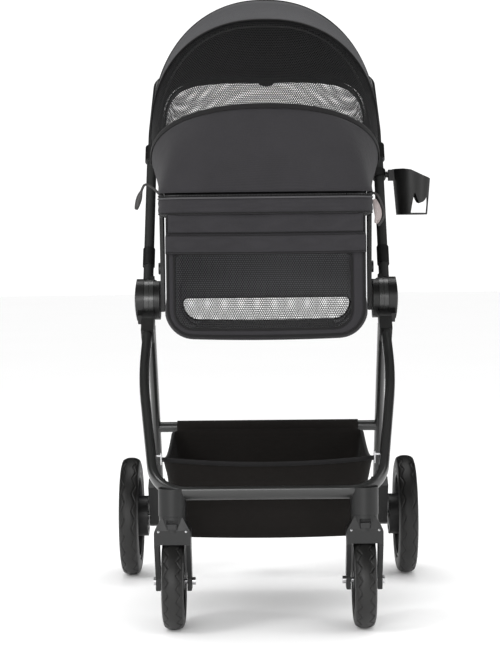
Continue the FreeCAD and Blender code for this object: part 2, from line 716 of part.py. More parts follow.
rise = V(0, 0, rim_height)
band = Part.Face(rim_outline(0, rim_low)).extrude(rise)
band = band.cut(Part.Face(rim_outline(rim_band, rim_low)).extrude(rise))
band = band.makeFillet(5.0, [e for e in band.Edges if abs(e.BoundBox.ZLength) < 0.01])
band = band.cut(rim_tube(rim_tube_radius + fit_gap))
tape_low = rim_low + rim_height + 0.2
tape = Part.Face(rim_outline(2, tape_low)).extrude(V(0, 0, 2.2))
tape = tape.cut(Part.Face(rim_outline(12, tape_low)).extrude(V(0, 0, 2.2)))
save("zipper_tape", tape)

arm_x = (rim_half_width + 1, 195.0)
pivot = V(0, canopy_pivot_y, canopy_pivot_height)
screw_places = [V(0, canopy_pivot_y - 12, rim_mid), V(0, canopy_pivot_y + 20, rim_mid)]
arm_outline = [(-20, hub.z - 22), (20, hub.z - 22), (22, hub.z + 60), (16, rim_low), (4, pivot.z - 10),
               (pivot.y + 9, pivot.z + 14), (pivot.y - 9, pivot.z + 14), (pivot.y - 17, pivot.z - 10),
               (-38, rim_low), (-24, hub.z + 60)]
latch_centre = V(0, 0, hub.z + 58)
latch_radius = 11.0
arm = plate(arm_outline, arm_x)
tongue = box(tongue_x, (-tongue_half_width, tongue_half_width), (tongue_low, hub.z + 20))
arm = fuse(arm, tongue).cut(disc(latch_radius + slide_gap, (180, 205), latch_centre))
for place in screw_places:
    arm = arm.cut(disc(2.5 + fit_gap, (180, 205), place))
    band = band.cut(disc(2.8, (184, 190), place)).cut(disc(2.8, (-190, -184), place))
save("rim_pad", band)
save("rim_tube", rim_tube(rim_tube_radius).cut(rim_tube(rim_tube_radius - 1.2)))
pivot_pin = disc(4 - running_gap, (arm_x[1] - 5, 203.4), pivot)
save("carrier_arms", both(fuse(arm, pivot_pin)))
screws = [fuse(disc(2.5, (rim_half_width - rim_centre_inset + rim_tube_radius + 0.3, arm_x[1] + 0.2), place),
               disc(4.2, (arm_x[1] + 0.1, arm_x[1] + 0.9), place)) for place in screw_places]
save("arm_screws", Part.makeCompound(screws + [mirrored(screw) for screw in screws]))
save_pair("carrier_latch", disc(latch_radius, (arm_x[0] + 2, arm_x[1] + 4.5), latch_centre))

# Zipper sliders run back along the sides of the rim.
slider_y = cabin_front + 60
zip_slider = rounded_block((176, 185), (slider_y - 7, slider_y + 7), (tape_low + 2.5, tape_low + 7), 3)
pull_tab = rounded_block((rim_half_width + 0.6, rim_half_width + 2.2), (slider_y - 5, slider_y + 5),
                         (rim_low - 34, tape_low + 5), 0.7)
pull_link = box((184, rim_half_width + 2), (slider_y - 2, slider_y + 2), (tape_low + 3, tape_low + 5))
save_pair("zipper_pull", fuse(zip_slider, pull_link, pull_tab))


# ---------------------------------------------------------------- canopy
def arch(foot, top, half_width, fullness, inset):
    """One edge of the hood: a rounded arch from a foot on each side to a top point."""
    reach = V(0, top[0] - foot[0], top[1] - foot[1])
    reach = reach * ((reach.Length - inset) / reach.Length)
    points = []
    steps = 12
    for step in range(steps + 1):
        angle = math.pi * step / steps
        across = math.copysign(abs(math.cos(angle)) ** (2 / fullness), math.cos(angle))
        along = abs(math.sin(angle)) ** (2 / fullness)
        points.append(V((half_width - inset) * across, foot[0], foot[1]) + reach * along)
    curve = Part.BSplineCurve()
    curve.interpolate(points)
    return curve.toShape(), points[0], points[-1]


def band_outline(foot, top, half_width, fullness, thickness, inset=0.0):
    """A closed thin arch, as wide as the skin or strip is thick."""
    outside, first, last = arch(foot, top, half_width, fullness, inset)
    inside, inner_first, inner_last = arch(foot, top, half_width, fullness, inset + thickness)
    return Part.Wire([outside, Part.LineSegment(last, inner_last).toShape(), inside,
                      Part.LineSegment(inner_first, first).toShape()])


def skin(*edges):
    """Fabric panel ruled between arches; each edge is (foot, top, half width, fullness)."""
    outlines = [band_outline(*edge, canopy_skin) for edge in edges]
    panels = [Part.makeLoft([first, second], True, True) for first, second in zip(outlines, outlines[1:])]
    whole = panels[0]
    for panel in panels[1:]:
        whole = whole.fuse(panel)
    return whole


wide = canopy_half_width
low_z = tape_low + 8
edge_half_width = rim_half_width + 1
ahead_of_pivot = canopy_pivot_y - 32
front_edge = ((ahead_of_pivot + 4, low_z), (rim_front + 3, low_z), edge_half_width, 10.0)
front_arch = ((ahead_of_pivot, canopy_pivot_height + 17), (-205.0, 900.0), wide, 2.25)
middle_arch = ((canopy_pivot_y - 14, canopy_pivot_height + 35), (-100.0, canopy_crest - 50), wide, 2.45)
crest_arch = ((canopy_pivot_y + 4, canopy_pivot_height + 37), (10.0, canopy_crest), wide, 2.2)
roof_arch = ((canopy_pivot_y + 20, canopy_pivot_height + 33), (105.0, canopy_crest - 35), wide - 3, 2.7)
rear_arch = ((canopy_pivot_y + 32, canopy_pivot_height + 27), (cabin_rear - 15, 989.0), wide - 10, 5.0)
rear_middle = ((canopy_pivot_y + 32, canopy_pivot_height - 10), (rim_rear - 6, 800.0), wide - 16, 6.0)
rear_edge = ((26.0, low_z), (rim_rear - 3, low_z), edge_half_width, 10.0)
seam = 0.25


def shifted(edge, forward, up=0.0):
    """The same arch moved a little, which leaves a seam between two panels."""
    foot, top, half_width, fullness = edge
    return ((foot[0] + forward, foot[1] + up), (top[0] + forward, top[1] + up), half_width, fullness)


save("canopy_cover", skin(front_edge, shifted(front_arch, -seam, -seam)))
save("canopy_mesh", skin(shifted(front_arch, seam, seam), shifted(middle_arch, -seam, -seam)))
save("canopy_roof", skin(shifted(middle_arch, seam), crest_arch, roof_arch, shifted(rear_arch, -seam, seam)))
save("canopy_window", skin(shifted(rear_arch, seam, -seam), shifted(rear_middle, 0, seam)))
save("canopy_back", skin(shifted(rear_middle, 0, -seam), rear_edge))


def bow(edge, foot_x, strip_width):
    """Flat sprung strip under the hood, with an eye round the canopy pivot at each end."""
    foot, top, half_width, fullness = edge
    direction = V(0, top[0] - pivot.y, top[1] - pivot.z).normalize()
    reach = (V(0, top[0], top[1]) - pivot).Length - 10
    tip = pivot + direction * reach
    outline = band_outline((pivot.y, pivot.z), (tip.y, tip.z), foot_x[1], fullness, foot_x[1] - foot_x[0])
    side = direction.cross(ALONG_X) * strip_width
    strip = Part.Face(outline).extrude(side)
    strip.translate(side * -0.5)
    eye = disc(10, foot_x, pivot)
    strip = fuse(strip, eye, mirrored(eye))
    for bore_x in ((190, 210), (-210, -190)):
        strip = strip.cut(disc(4, bore_x, pivot))
    return strip


save("bow_front", bow(front_arch, (195.6, 198.4), 12))
save("bow_middle", bow(middle_arch, (199.0, 201.8), 12))
rear_foot, rear_top, rear_half_width, rear_fullness = rear_arch
rear_strip = Part.Face(band_outline((rear_foot[0] + 4, rear_foot[1] - 4), (rear_top[0] - 8, rear_top[1] - 11),
                                    rear_half_width - 5, rear_fullness, 3))
save("bow_rear", rear_strip.extrude(V(0, -7, 7)))
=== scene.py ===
import math
import bmesh
import bpy
from mathutils import Matrix, Vector, noise


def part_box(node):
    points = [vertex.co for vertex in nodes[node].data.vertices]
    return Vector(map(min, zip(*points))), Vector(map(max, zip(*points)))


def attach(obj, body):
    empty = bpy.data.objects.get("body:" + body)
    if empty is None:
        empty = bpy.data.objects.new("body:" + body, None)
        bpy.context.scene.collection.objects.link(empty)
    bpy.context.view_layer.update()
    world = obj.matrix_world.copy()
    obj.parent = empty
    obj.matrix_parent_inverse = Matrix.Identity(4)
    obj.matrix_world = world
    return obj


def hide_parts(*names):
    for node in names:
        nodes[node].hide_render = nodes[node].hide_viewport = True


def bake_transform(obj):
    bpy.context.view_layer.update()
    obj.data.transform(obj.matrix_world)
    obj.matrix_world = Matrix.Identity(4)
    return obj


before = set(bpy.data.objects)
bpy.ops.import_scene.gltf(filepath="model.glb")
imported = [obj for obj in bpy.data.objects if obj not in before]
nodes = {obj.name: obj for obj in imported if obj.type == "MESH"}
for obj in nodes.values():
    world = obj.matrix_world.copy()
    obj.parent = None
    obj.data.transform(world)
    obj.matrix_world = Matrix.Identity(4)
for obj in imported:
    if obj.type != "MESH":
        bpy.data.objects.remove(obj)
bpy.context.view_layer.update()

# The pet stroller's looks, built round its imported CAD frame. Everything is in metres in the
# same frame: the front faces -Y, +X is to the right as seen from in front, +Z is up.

collection = bpy.context.scene.collection
SIDES = (("left", -1), ("right", 1))


# ---------------------------------------------------------------- meshes
def new_object(name, points, faces, material, smooth=True):
    mesh = bpy.data.meshes.new(name)
    mesh.from_pydata([tuple(p) for p in points], [], faces)
    mesh.update()
    if smooth:
        mesh.polygons.foreach_set("use_smooth", [True] * len(mesh.polygons))
    obj = bpy.data.objects.new(name, mesh)
    collection.objects.link(obj)
    obj.data.materials.append(material)
    return obj


def face_outward(obj):
    """Turns all normals the same way, outward on a closed mesh."""
    work = bmesh.new()
    work.from_mesh(obj.data)
    bmesh.ops.recalc_face_normals(work, faces=work.faces)
    work.to_mesh(obj.data)
    work.free()
    return obj


def grid(rows, wrap=False):
    """Points and quads of a sheet given as rows of points; wrap joins each row's ends."""
    width = len(rows[0])
    points = [p for row in rows for p in row]
    faces = []
    for r in range(len(rows) - 1):
        for c in range(width if wrap else width - 1):
            d = (c + 1) % width
            faces.append((r * width + c, r * width + d, (r + 1) * width + d, (r + 1) * width + c))
    return points, faces


def thicken(obj, thickness, offset=-1.0, lining=None):
    """Gives a sheet its thickness; the lining is the material of its inner side."""
    solid = obj.modifiers.new("thickness", "SOLIDIFY")
    if lining:
        obj.data.materials.append(lining)
        solid.material_offset = 1
    solid.thickness = thickness
    solid.offset = offset
    solid.use_even_offset = False
    return obj


def smooth_up(obj, levels=1):
    sub = obj.modifiers.new("smooth", "SUBSURF")
    sub.levels = levels
    sub.render_levels = levels
    return obj


def spread(points, count, closed=False):
    """The same line with points at equal distances."""
    line = list(points) + ([points[0]] if closed else [])
    marks = [0.0]
    for a, b in zip(line, line[1:]):
        marks.append(marks[-1] + (b - a).length)
    out = []
    steps = count if closed else count - 1
    segment = 0
    for i in range(count):
        target = marks[-1] * i / steps
        while segment < len(marks) - 2 and marks[segment + 1] < target:
            segment += 1
        span = marks[segment + 1] - marks[segment]
        out.append(line[segment].lerp(line[segment + 1], (target - marks[segment]) / max(span, 1e-9)))
    return out


def line_length(points):
    return sum((b - a).length for a, b in zip(points, points[1:]))


def section_tube(name, path, section, material, closed=False, up=Vector((0, 0, 1))):
    """Sweeps a closed outline of (sideways, up) points along a path that stays fairly level."""
    rows = []
    count = len(path)
    for i, point in enumerate(path):
        ahead = path[(i + 1) % count] if closed or i < count - 1 else point
        behind = path[i - 1] if closed or i > 0 else point
        along = (ahead - behind).normalized()
        side = along.cross(up).normalized()
        rise = side.cross(along).normalized()
        rows.append([point + side * a + rise * b for a, b in section])
    if closed:
        rows.append(rows[0])
    points, faces = grid(rows, wrap=True)
    if not closed:
        width = len(section)
        faces.append(tuple(range(width)))
        faces.append(tuple(reversed(range(len(points) - width, len(points)))))
    obj = new_object(name, points, faces, material)
    if closed:
        weld(obj)
    return face_outward(obj)


def weld(obj, distance=0.00001):
    work = bmesh.new()
    work.from_mesh(obj.data)
    bmesh.ops.remove_doubles(work, verts=work.verts, dist=distance)
    work.to_mesh(obj.data)
    work.free()
    return obj


def round_section(radius, count=10, flat=1.0):
    return [(radius * math.cos(2 * math.pi * i / count), radius * flat * math.sin(2 * math.pi * i / count))
            for i in range(count)]


def piping(name, path, radius, material, closed=False, up=Vector((0, 0, 1)), count=8):
    return section_tube(name, path, round_section(radius, count), material, closed, up)


def join(name, pieces):
    """Several meshes with one material made into one piece."""
    work = bmesh.new()
    for piece in pieces:
        work.from_mesh(piece.data)
    mesh = bpy.data.meshes.new(name)
    work.to_mesh(mesh)
    work.free()
    mesh.materials.append(pieces[0].data.materials[0])
    for piece in pieces:
        old = piece.data
        bpy.data.objects.remove(piece)
        bpy.data.meshes.remove(old)
    obj = bpy.data.objects.new(name, mesh)
    collection.objects.link(obj)
    return obj


def block(name, size, place, material, bevel=0.0008, turn=None):
    """A small block with rounded edges."""
    work = bmesh.new()
    bmesh.ops.create_cube(work, size=1.0)
    bmesh.ops.scale(work, vec=size, verts=work.verts)
    bmesh.ops.bevel(work, geom=list(work.edges), offset=bevel, segments=2, profile=0.7, affect="EDGES")
    if turn:
        bmesh.ops.transform(work, matrix=turn, verts=work.verts)
    bmesh.ops.translate(work, vec=place, verts=work.verts)
    mesh = bpy.data.meshes.new(name)
    work.to_mesh(mesh)
    work.free()
    mesh.polygons.foreach_set("use_smooth", [True] * len(mesh.polygons))
    mesh.materials.append(material)
    obj = bpy.data.objects.new(name, mesh)
    collection.objects.link(obj)
    return obj


def turned(name, outline, centre, axis, material, count=48):
    """A body of revolution; the outline is (along the axis, radius) from one end to the other."""
    turn = Vector((0, 0, 1)).rotation_difference(Vector(axis)).to_matrix()
    rows = []
    for along, radius in outline:
        rows.append([centre + turn @ Vector((radius * math.cos(2 * math.pi * i / count),
                                             radius * math.sin(2 * math.pi * i / count), along))
                     for i in range(count)])
    points, faces = grid(rows, wrap=True)
    faces.append(tuple(reversed(range(count))))
    faces.append(tuple(range(len(points) - count, len(points))))
    return face_outward(new_object(name, points, faces, material))


def assign(piece, body, node=None):
    """Says which body a piece rides on and hides the CAD node that it stands for."""
    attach(piece, body)
    if node:
        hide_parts(node)
    return piece


# ---------------------------------------------------------------- materials
class Nodes:
    """A short way to build a material's nodes."""

    def __init__(self, name, color, roughness, **sockets):
        self.material = bpy.data.materials.new(name)
        self.material.use_nodes = True
        self.tree = self.material.node_tree
        self.shader = self.tree.nodes["Principled BSDF"]
        self.shader.inputs["Base Color"].default_value = (*color, 1.0)
        self.shader.inputs["Roughness"].default_value = roughness
        for key, value in sockets.items():
            self.shader.inputs[key.replace("_", " ")].default_value = value
        self.where = self.tree.nodes.new("ShaderNodeTexCoord").outputs["Object"]

    def add(self, kind, inputs=(), **settings):
        node = self.tree.nodes.new("ShaderNode" + kind)
        for key, value in settings.items():
            setattr(node, key, value)
        for key, value in dict(inputs).items():
            if isinstance(value, bpy.types.NodeSocket):
                self.tree.links.new(value, node.inputs[key])
            else:
                node.inputs[key].default_value = value
        return node

    def noise(self, scale, detail=3.0, rough=0.5, where=None):
        node = self.add("TexNoise", {"Scale": scale, "Detail": detail, "Roughness": rough,
                                     "Vector": where or self.where})
        return node.outputs["Fac"]

    def ramp(self, value, stops):
        node = self.add("ValToRGB", {"Fac": value})
        elements = node.color_ramp.elements
        while len(elements) < len(stops):
            elements.new(0.5)
        for element, (place, color) in zip(elements, stops):
            element.position = place
            element.color = (*color, 1.0)
        return node.outputs["Color"]

    def math(self, operation, a, b=0.0):
        return self.add("Math", {0: a, 1: b}, operation=operation).outputs[0]

    def mix(self, factor, a, b, blend="MIX"):
        node = self.tree.nodes.new("ShaderNodeMix")
        node.data_type = "RGBA"
        node.blend_type = blend
        for key, value in ((0, factor), (6, a), (7, b)):
            if isinstance(value, bpy.types.NodeSocket):
                self.tree.links.new(value, node.inputs[key])
            elif key == 0:
                node.inputs[0].default_value = value
            else:
                node.inputs[key].default_value = (*value, 1.0)
        return node.outputs[2]

    def base(self, color):
        self.tree.links.new(color, self.shader.inputs["Base Color"])

    def rough(self, value):
        self.tree.links.new(value, self.shader.inputs["Roughness"])

    def bump(self, height, distance, strength=1.0, after=None):
        inputs = {"Height": height, "Distance": distance, "Strength": strength}
        if after:
            inputs["Normal"] = after
        node = self.add("Bump", inputs)
        self.tree.links.new(node.outputs["Normal"], self.shader.inputs["Normal"])
        return node.outputs["Normal"]


def shade(color, factor):
    return tuple(min(1.0, c * factor) for c in color)


def woven(name, color, thread=0.0011, contrast=0.35, heather=0.25, rough=0.88, sheen=0.06, ribbed=False):
    """Woven polyester: crossing threads, uneven yarn colour, soft large creases in the bump and painted
    wrinkle shade in the colour.
    """
    n = Nodes(name, color, rough, Sheen_Weight=sheen, Sheen_Roughness=0.45, Specular_IOR_Level=0.2)
    waves = []
    for direction in ("X", "Y", "Z"):
        wave = n.add("TexWave", {"Scale": 0.32 / thread, "Distortion": 0.6, "Detail": 1.0,
                                 "Detail Scale": 2.0, "Vector": n.where},
                     wave_type="BANDS", bands_direction=direction)
        waves.append(wave.outputs["Fac"])
    if ribbed:
        weave = n.math("ADD", waves[2], n.math("MULTIPLY", n.math("ADD", waves[0], waves[1]), 0.15))
    else:
        weave = n.math("MULTIPLY", n.math("ADD", waves[0], waves[1]), 0.5)
        weave = n.math("MULTIPLY", n.math("ADD", weave, waves[2]), 0.5)
    yarn = n.noise(900.0, 2.0)
    # Large soft patches of painted wrinkle shade, darker and lighter, mixed into the cloth's colour.
    painted_wrinkle_shade = n.noise(14.0, 4.0, 0.6)
    tone = n.math("ADD", n.math("MULTIPLY", weave, contrast), n.math("MULTIPLY", yarn, heather))
    tone = n.math("ADD", tone, n.math("MULTIPLY", painted_wrinkle_shade, 0.35))
    n.base(n.ramp(tone, [(0.12, shade(color, 0.66)), (0.48, color), (0.9, shade(color, 1.5))]))
    first = n.bump(weave, 0.0003, 0.6)
    n.bump(n.noise(46.0, 4.0, 0.62), 0.0022, 0.35, first)
    return n.material


def netting(name, color):
    """Knitted thread of the open mesh."""
    n = Nodes(name, color, 0.6, Sheen_Weight=0.05, Specular_IOR_Level=0.3)
    twist = n.noise(1500.0, 2.0)
    n.base(n.ramp(twist, [(0.3, shade(color, 0.7)), (0.7, shade(color, 1.5))]))
    n.bump(twist, 0.0002, 0.5)
    return n.material


def paint(name, color, rough=0.34, coat=0.12):
    """Powder coat with a fine orange-peel grain; its colour is lighter on sharp outer edges."""
    n = Nodes(name, color, rough, Coat_Weight=coat, Coat_Roughness=0.25, Specular_IOR_Level=0.5)
    grain = n.noise(1400.0, 2.0)
    patches = n.noise(9.0, 4.0, 0.6)
    geometry = n.tree.nodes.new("ShaderNodeNewGeometry")
    # The colour is made lighter on sharp outer edges.
    edges = n.ramp(geometry.outputs["Pointiness"], [(0.53, (0, 0, 0)), (0.62, (1, 1, 1))])
    edge_lightened = n.mix(n.math("MULTIPLY", edges, 0.3), color, shade(color, 3.0))
    n.base(n.mix(n.math("MULTIPLY", patches, 0.35), edge_lightened, shade(color, 1.35)))
    n.rough(n.add("MapRange", {"Value": patches, "To Min": rough - 0.06, "To Max": rough + 0.1}).outputs[0])
    n.bump(grain, 0.00012, 0.5)
    return n.material


def moulded(name, color, rough=0.5, grain=900.0, spec=0.45):
    """Injection-moulded plastic with a spark-eroded texture and light scuffs."""
    n = Nodes(name, color, rough, Specular_IOR_Level=spec)
    texture = n.add("TexVoronoi", {"Scale": grain, "Vector": n.where}).outputs["Distance"]
    scuffs = n.noise(30.0, 6.0, 0.7)
    n.base(n.ramp(scuffs, [(0.3, shade(color, 0.82)), (0.62, color), (0.85, shade(color, 1.6))]))
    n.rough(n.add("MapRange", {"Value": scuffs, "To Min": rough - 0.08, "To Max": rough + 0.14}).outputs[0])
    n.bump(texture, 0.00015, 0.45)
    return n.material


def rubber(name, color):
    """Dusty tyre rubber, greyer in random patches."""
    n = Nodes(name, color, 0.5, Specular_IOR_Level=0.5)
    dust = n.noise(24.0, 6.0, 0.7)
    fine = n.noise(700.0, 3.0)
    n.base(n.ramp(n.math("ADD", n.math("MULTIPLY", dust, 0.8), n.math("MULTIPLY", fine, 0.2)),
                  [(0.3, shade(color, 0.75)), (0.55, color), (0.8, shade(color, 1.9))]))
    n.rough(n.add("MapRange", {"Value": dust, "To Min": 0.38, "To Max": 0.62}).outputs[0])
    n.bump(fine, 0.0002, 0.5)
    return n.material


def metal(name, color, rough=0.3):
    """Zinc-plated steel with fine drawn lines."""
    n = Nodes(name, color, rough, Metallic=1.0)
    stretched = n.add("Mapping", {"Vector": n.where, "Scale": (30.0, 900.0, 900.0)}).outputs["Vector"]
    lines = n.noise(1.0, 3.0, 0.5, stretched)
    tarnish = n.noise(60.0, 4.0)
    n.base(n.ramp(tarnish, [(0.3, shade(color, 0.75)), (0.7, color)]))
    n.rough(n.add("MapRange", {"Value": lines, "To Min": rough - 0.1, "To Max": rough + 0.15}).outputs[0])
    n.bump(lines, 0.0001, 0.3)
    return n.material


def leather(name, color):
    """Grained synthetic leather."""
    n = Nodes(name, color, 0.5, Specular_IOR_Level=0.45, Coat_Weight=0.05)
    voronoi = n.add("TexVoronoi", {"Scale": 520.0, "Vector": n.where}, feature="DISTANCE_TO_EDGE")
    cells = voronoi.outputs["Distance"]
    pores = n.ramp(cells, [(0.0, (0, 0, 0)), (0.14, (1, 1, 1))])
    wear = n.noise(26.0, 5.0, 0.65)
    n.base(n.ramp(wear, [(0.3, shade(color, 0.75)), (0.6, color), (0.85, shade(color, 1.7))]))
    n.rough(n.add("MapRange", {"Value": wear, "To Min": 0.42, "To Max": 0.62}).outputs[0])
    n.bump(pores, 0.0003, 0.6)
    return n.material


def floor_cover(name, color):
    n = Nodes(name, color, 0.75, Specular_IOR_Level=0.3)
    soft = n.noise(0.8, 3.0)
    n.base(n.ramp(soft, [(0.2, shade(color, 0.985)), (0.8, color)]))
    n.bump(n.noise(300.0, 2.0), 0.0001, 0.1)
    return n.material


CHARCOAL = (0.0232, 0.0222, 0.0245)
cloth = woven("charcoal_cloth", CHARCOAL)
roof_cloth = woven("roof_cloth", (0.036, 0.0358, 0.039))
binding_cloth = woven("binding_cloth", (0.0095, 0.0092, 0.0096), thread=0.0016, ribbed=True)
basket_cloth = woven("basket_cloth", (0.0080, 0.0067, 0.0058), thread=0.0009, heather=0.2, sheen=0.03)
inner_cloth = woven("inner_cloth", (0.008, 0.0078, 0.0082), thread=0.0010, sheen=0.0)
lining_cloth = woven("lining_cloth", (0.26, 0.26, 0.27), thread=0.0010, sheen=0.0)
# Lighter grey cloth for the rim band's top cord, a painted highlight along the band's top edge.
highlight_piping_cloth = woven("highlight_piping_cloth", (0.060, 0.059, 0.062), thread=0.0013, sheen=0.05, ribbed=True)
cushion_cloth = woven("cushion_cloth", (0.022, 0.022, 0.024), thread=0.0013)
window_net = netting("window_net", (0.0105, 0.0102, 0.0110))
canopy_net = netting("canopy_net", (0.0080, 0.0080, 0.0085))
frame_paint = paint("frame_paint", (0.0150, 0.0154, 0.0150), 0.3, 0.35)
hub_plastic = moulded("hub_plastic", (0.0085, 0.0085, 0.0083), 0.36)
black_plastic = moulded("black_plastic", (0.0075, 0.0075, 0.0072), 0.4)
caster_plastic = moulded("caster_plastic", (0.0080, 0.0083, 0.0083), 0.38)
rim_plastic = moulded("rim_plastic", (0.0075, 0.0075, 0.0075), 0.42)
button_plastic = moulded("button_plastic", (0.010, 0.010, 0.0105), 0.3, 500.0)
tyre_rubber = rubber("tyre_rubber", (0.0062, 0.0060, 0.0055))
zinc = metal("zinc", (0.62, 0.62, 0.63))
dark_steel = metal("dark_steel", (0.10, 0.10, 0.10), 0.4)
grip_leather = leather("grip_leather", (0.022, 0.019, 0.017))
strap_leather = leather("strap_leather", (0.030, 0.028, 0.027))
tag_leather = leather("tag_leather", (0.42, 0.36, 0.35))
stitch_thread = netting("stitch_thread", (0.075, 0.073, 0.075))
zip_teeth = moulded("zip_teeth", (0.030, 0.030, 0.031), 0.35)
board_plastic = moulded("board_plastic", (0.03, 0.03, 0.03), 0.6)
pale_floor = floor_cover("pale_floor", (0.975, 0.975, 0.975))

node_looks = {
    frame_paint: "front_frame rear_legs rear_cross_tube handle_lower_tubes handle_upper brake_bar",
    hub_plastic: "hub_housings handle_collars fold_slider_left fold_slider_right carrier_receivers",
    black_plastic: "rear_brackets brake_pedal cup_clamp cup_holder carrier_arms "
                   "bow_front bow_middle bow_rear",
    caster_plastic: "caster_housings fork_left fork_right",
    rim_plastic: "front_rim_left front_rim_right rear_rim_left rear_rim_right",
    button_plastic: "height_button carrier_latch_left carrier_latch_right swivel_lock_left swivel_lock_right",
    dark_steel: "rim_tube",
    zinc: "hub_pins rear_axle_pins arm_screws brake_pin_left brake_pin_right "
          "basket_hooks front_axle_bolt_left front_axle_bolt_right",
    board_plastic: "base_board",
    cloth: "cabin_shell window_flap rim_pad canopy_cover canopy_roof canopy_back cushion basket",
    canopy_net: "window_mesh canopy_mesh canopy_window",
    strap_leather: "handle_grip zipper_pull_left zipper_pull_right zipper_tape",
    tyre_rubber: "front_tyre_left front_tyre_right rear_tyre_left rear_tyre_right",
}
for look, names in node_looks.items():
    for node_name in names.split():
        mesh = nodes[node_name].data
        mesh.materials.clear()
        mesh.materials.append(look)


# ---------------------------------------------------------------- wheels
def tread_depth(across, around, half, blocks):
    """How deep the sparse zigzag grooves are at a place on the tread, in metres."""
    share = abs(across) / half
    zigzag = 0.42 + 0.46 * abs(2 * ((around * blocks + (0.5 if across < 0 else 0.0)) % 1.0) - 1)
    near = abs(share - zigzag)
    return 0.0019 * max(0.0, 1 - (near / 0.075) ** 2) if share < 0.92 else 0.0


def tyre(name, node, rim_depth, blocks):
    """Foam tyre with zigzag grooves on its shoulders and a raised bead on each wall."""
    low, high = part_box(node)
    centre = (low + high) / 2
    outer = (high.z - low.z) / 2
    half = (high.x - low.x) / 2
    inner = outer - rim_depth
    outline = [(-half + 0.004, inner), (-half + 0.0012, inner + 0.003), (-half, inner + 0.007),
               (-half + 0.0008, inner + 0.009), (-half + 0.0002, outer - 0.013),
               (-half + 0.0018, outer - 0.0075)]
    crown = 40
    for i in range(crown + 1):
        x = -half * 0.84 + 2 * half * 0.84 * i / crown
        outline.append((x, outer - 0.0048 * abs(x / (half * 0.84)) ** 2.6))
    outline += [(-x, r) for x, r in reversed(outline[:6])]
    count = blocks * 16
    rows = []
    for i in range(count):
        angle = 2 * math.pi * i / count
        row = []
        for x, radius in outline:
            if radius > outer - 0.0055:
                radius -= tread_depth(x, i / count, half * 0.84, blocks)
            row.append(centre + Vector((x, radius * math.sin(angle), radius * math.cos(angle))))
        rows.append(row)
    rows.append(rows[0])
    points, faces = grid(rows, wrap=True)
    return face_outward(weld(new_object(name, points, faces, tyre_rubber)))


for side, sign in SIDES:
    for axle, depth, blocks in (("front", 0.024, 22), ("rear", 0.032, 21)):
        node = axle + "_tyre_" + side
        piece = tyre(node + "_tread", node, depth, blocks)
        assign(piece, axle + "_wheel_" + side, node)
        low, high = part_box(axle + "_rim_" + side)
        wheel_low, wheel_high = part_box(node)
        hub_centre = (wheel_low + wheel_high) / 2
        seat = (wheel_high.z - wheel_low.z) / 2 - depth
        lips = []
        for face in (-1, 1):
            edge_x = (wheel_high.x - wheel_low.x) / 2 - 0.0045
            lip = turned("lip", [(-0.0012, seat - 0.006), (0.0012, seat - 0.0062), (0.0022, seat - 0.0035),
                                 (0.0016, seat - 0.0006), (-0.0012, seat - 0.0004)],
                         hub_centre + Vector((face * edge_x, 0, 0)), (face, 0, 0), rim_plastic, 96)
            work = bmesh.new()
            work.from_mesh(lip.data)
            caps = [f for f in work.faces if len(f.verts) > 4]
            bmesh.ops.delete(work, geom=caps, context="FACES_ONLY")
            work.to_mesh(lip.data)
            work.free()
            lips.append(lip)
        rings = join(axle + "_rim_lips_" + side, lips)
        thicken(rings, 0.0008, 1.0)
        assign(rings, axle + "_wheel_" + side)
    cap_low, cap_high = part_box("rear_axle_pins")
    reach = cap_high.x if sign > 0 else -cap_low.x
    rear_low, rear_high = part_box("rear_tyre_" + side)
    place = Vector((sign * (reach - 0.0045), (rear_low.y + rear_high.y) / 2, (rear_low.z + rear_high.z) / 2))
    cap = turned("rear_wheel_cap_" + side, [(0, 0.0165), (0.0015, 0.0165), (0.0034, 0.0145), (0.0044, 0.009),
                                           (0.0046, 0.0)], place, (sign, 0, 0), hub_plastic)
    assign(cap, "rear_wheel_" + side)

for side, sign in SIDES:
    stem = Vector((sign * 0.163, -0.305, 0.0))
    studs = []
    for across in (-0.0235, 0.0235):
        studs.append(turned("stud", [(-0.002, 0.0024), (0.0004, 0.0024), (0.0012, 0.0014), (0.0013, 0.0)],
                            stem + Vector((across, -0.0217, 0.1755)), (0, -1, 0), zinc, 16))
    studs = join("fork_studs_" + side, studs)
    assign(studs, "caster_" + side)

# ---------------------------------------------------------------- canopy
pivot = Vector((0, -0.020, 0.795))
cover_low, cover_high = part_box("canopy_cover")
roof_low, roof_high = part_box("canopy_roof")
mesh_low, mesh_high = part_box("canopy_mesh")
hood_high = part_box("canopy_window")[1]
back_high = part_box("canopy_back")[1]
rim_low, rim_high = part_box("rim_pad")
wide = 0.207


def arch(foot, top, half_width, fullness, leg=0.0, count=161):
    """A rounded arch over straight feet, as points at equal distances from right to left."""
    foot = Vector((0, *foot))
    reach = Vector((0, *top)) - foot
    feet = foot.copy()
    foot += reach * leg
    reach *= 1 - leg
    raw = [feet + Vector((half_width, 0, 0))]
    steps = 400
    for step in range(steps + 1):
        angle = math.pi * step / steps
        across = math.copysign(abs(math.cos(angle)) ** (2 / fullness), math.cos(angle))
        rise = reach * abs(math.sin(angle)) ** (2 / fullness)
        raw.append(foot + Vector((half_width * across, 0, 0)) + rise)
    raw.append(feet - Vector((half_width, 0, 0)))
    return spread(raw, count)


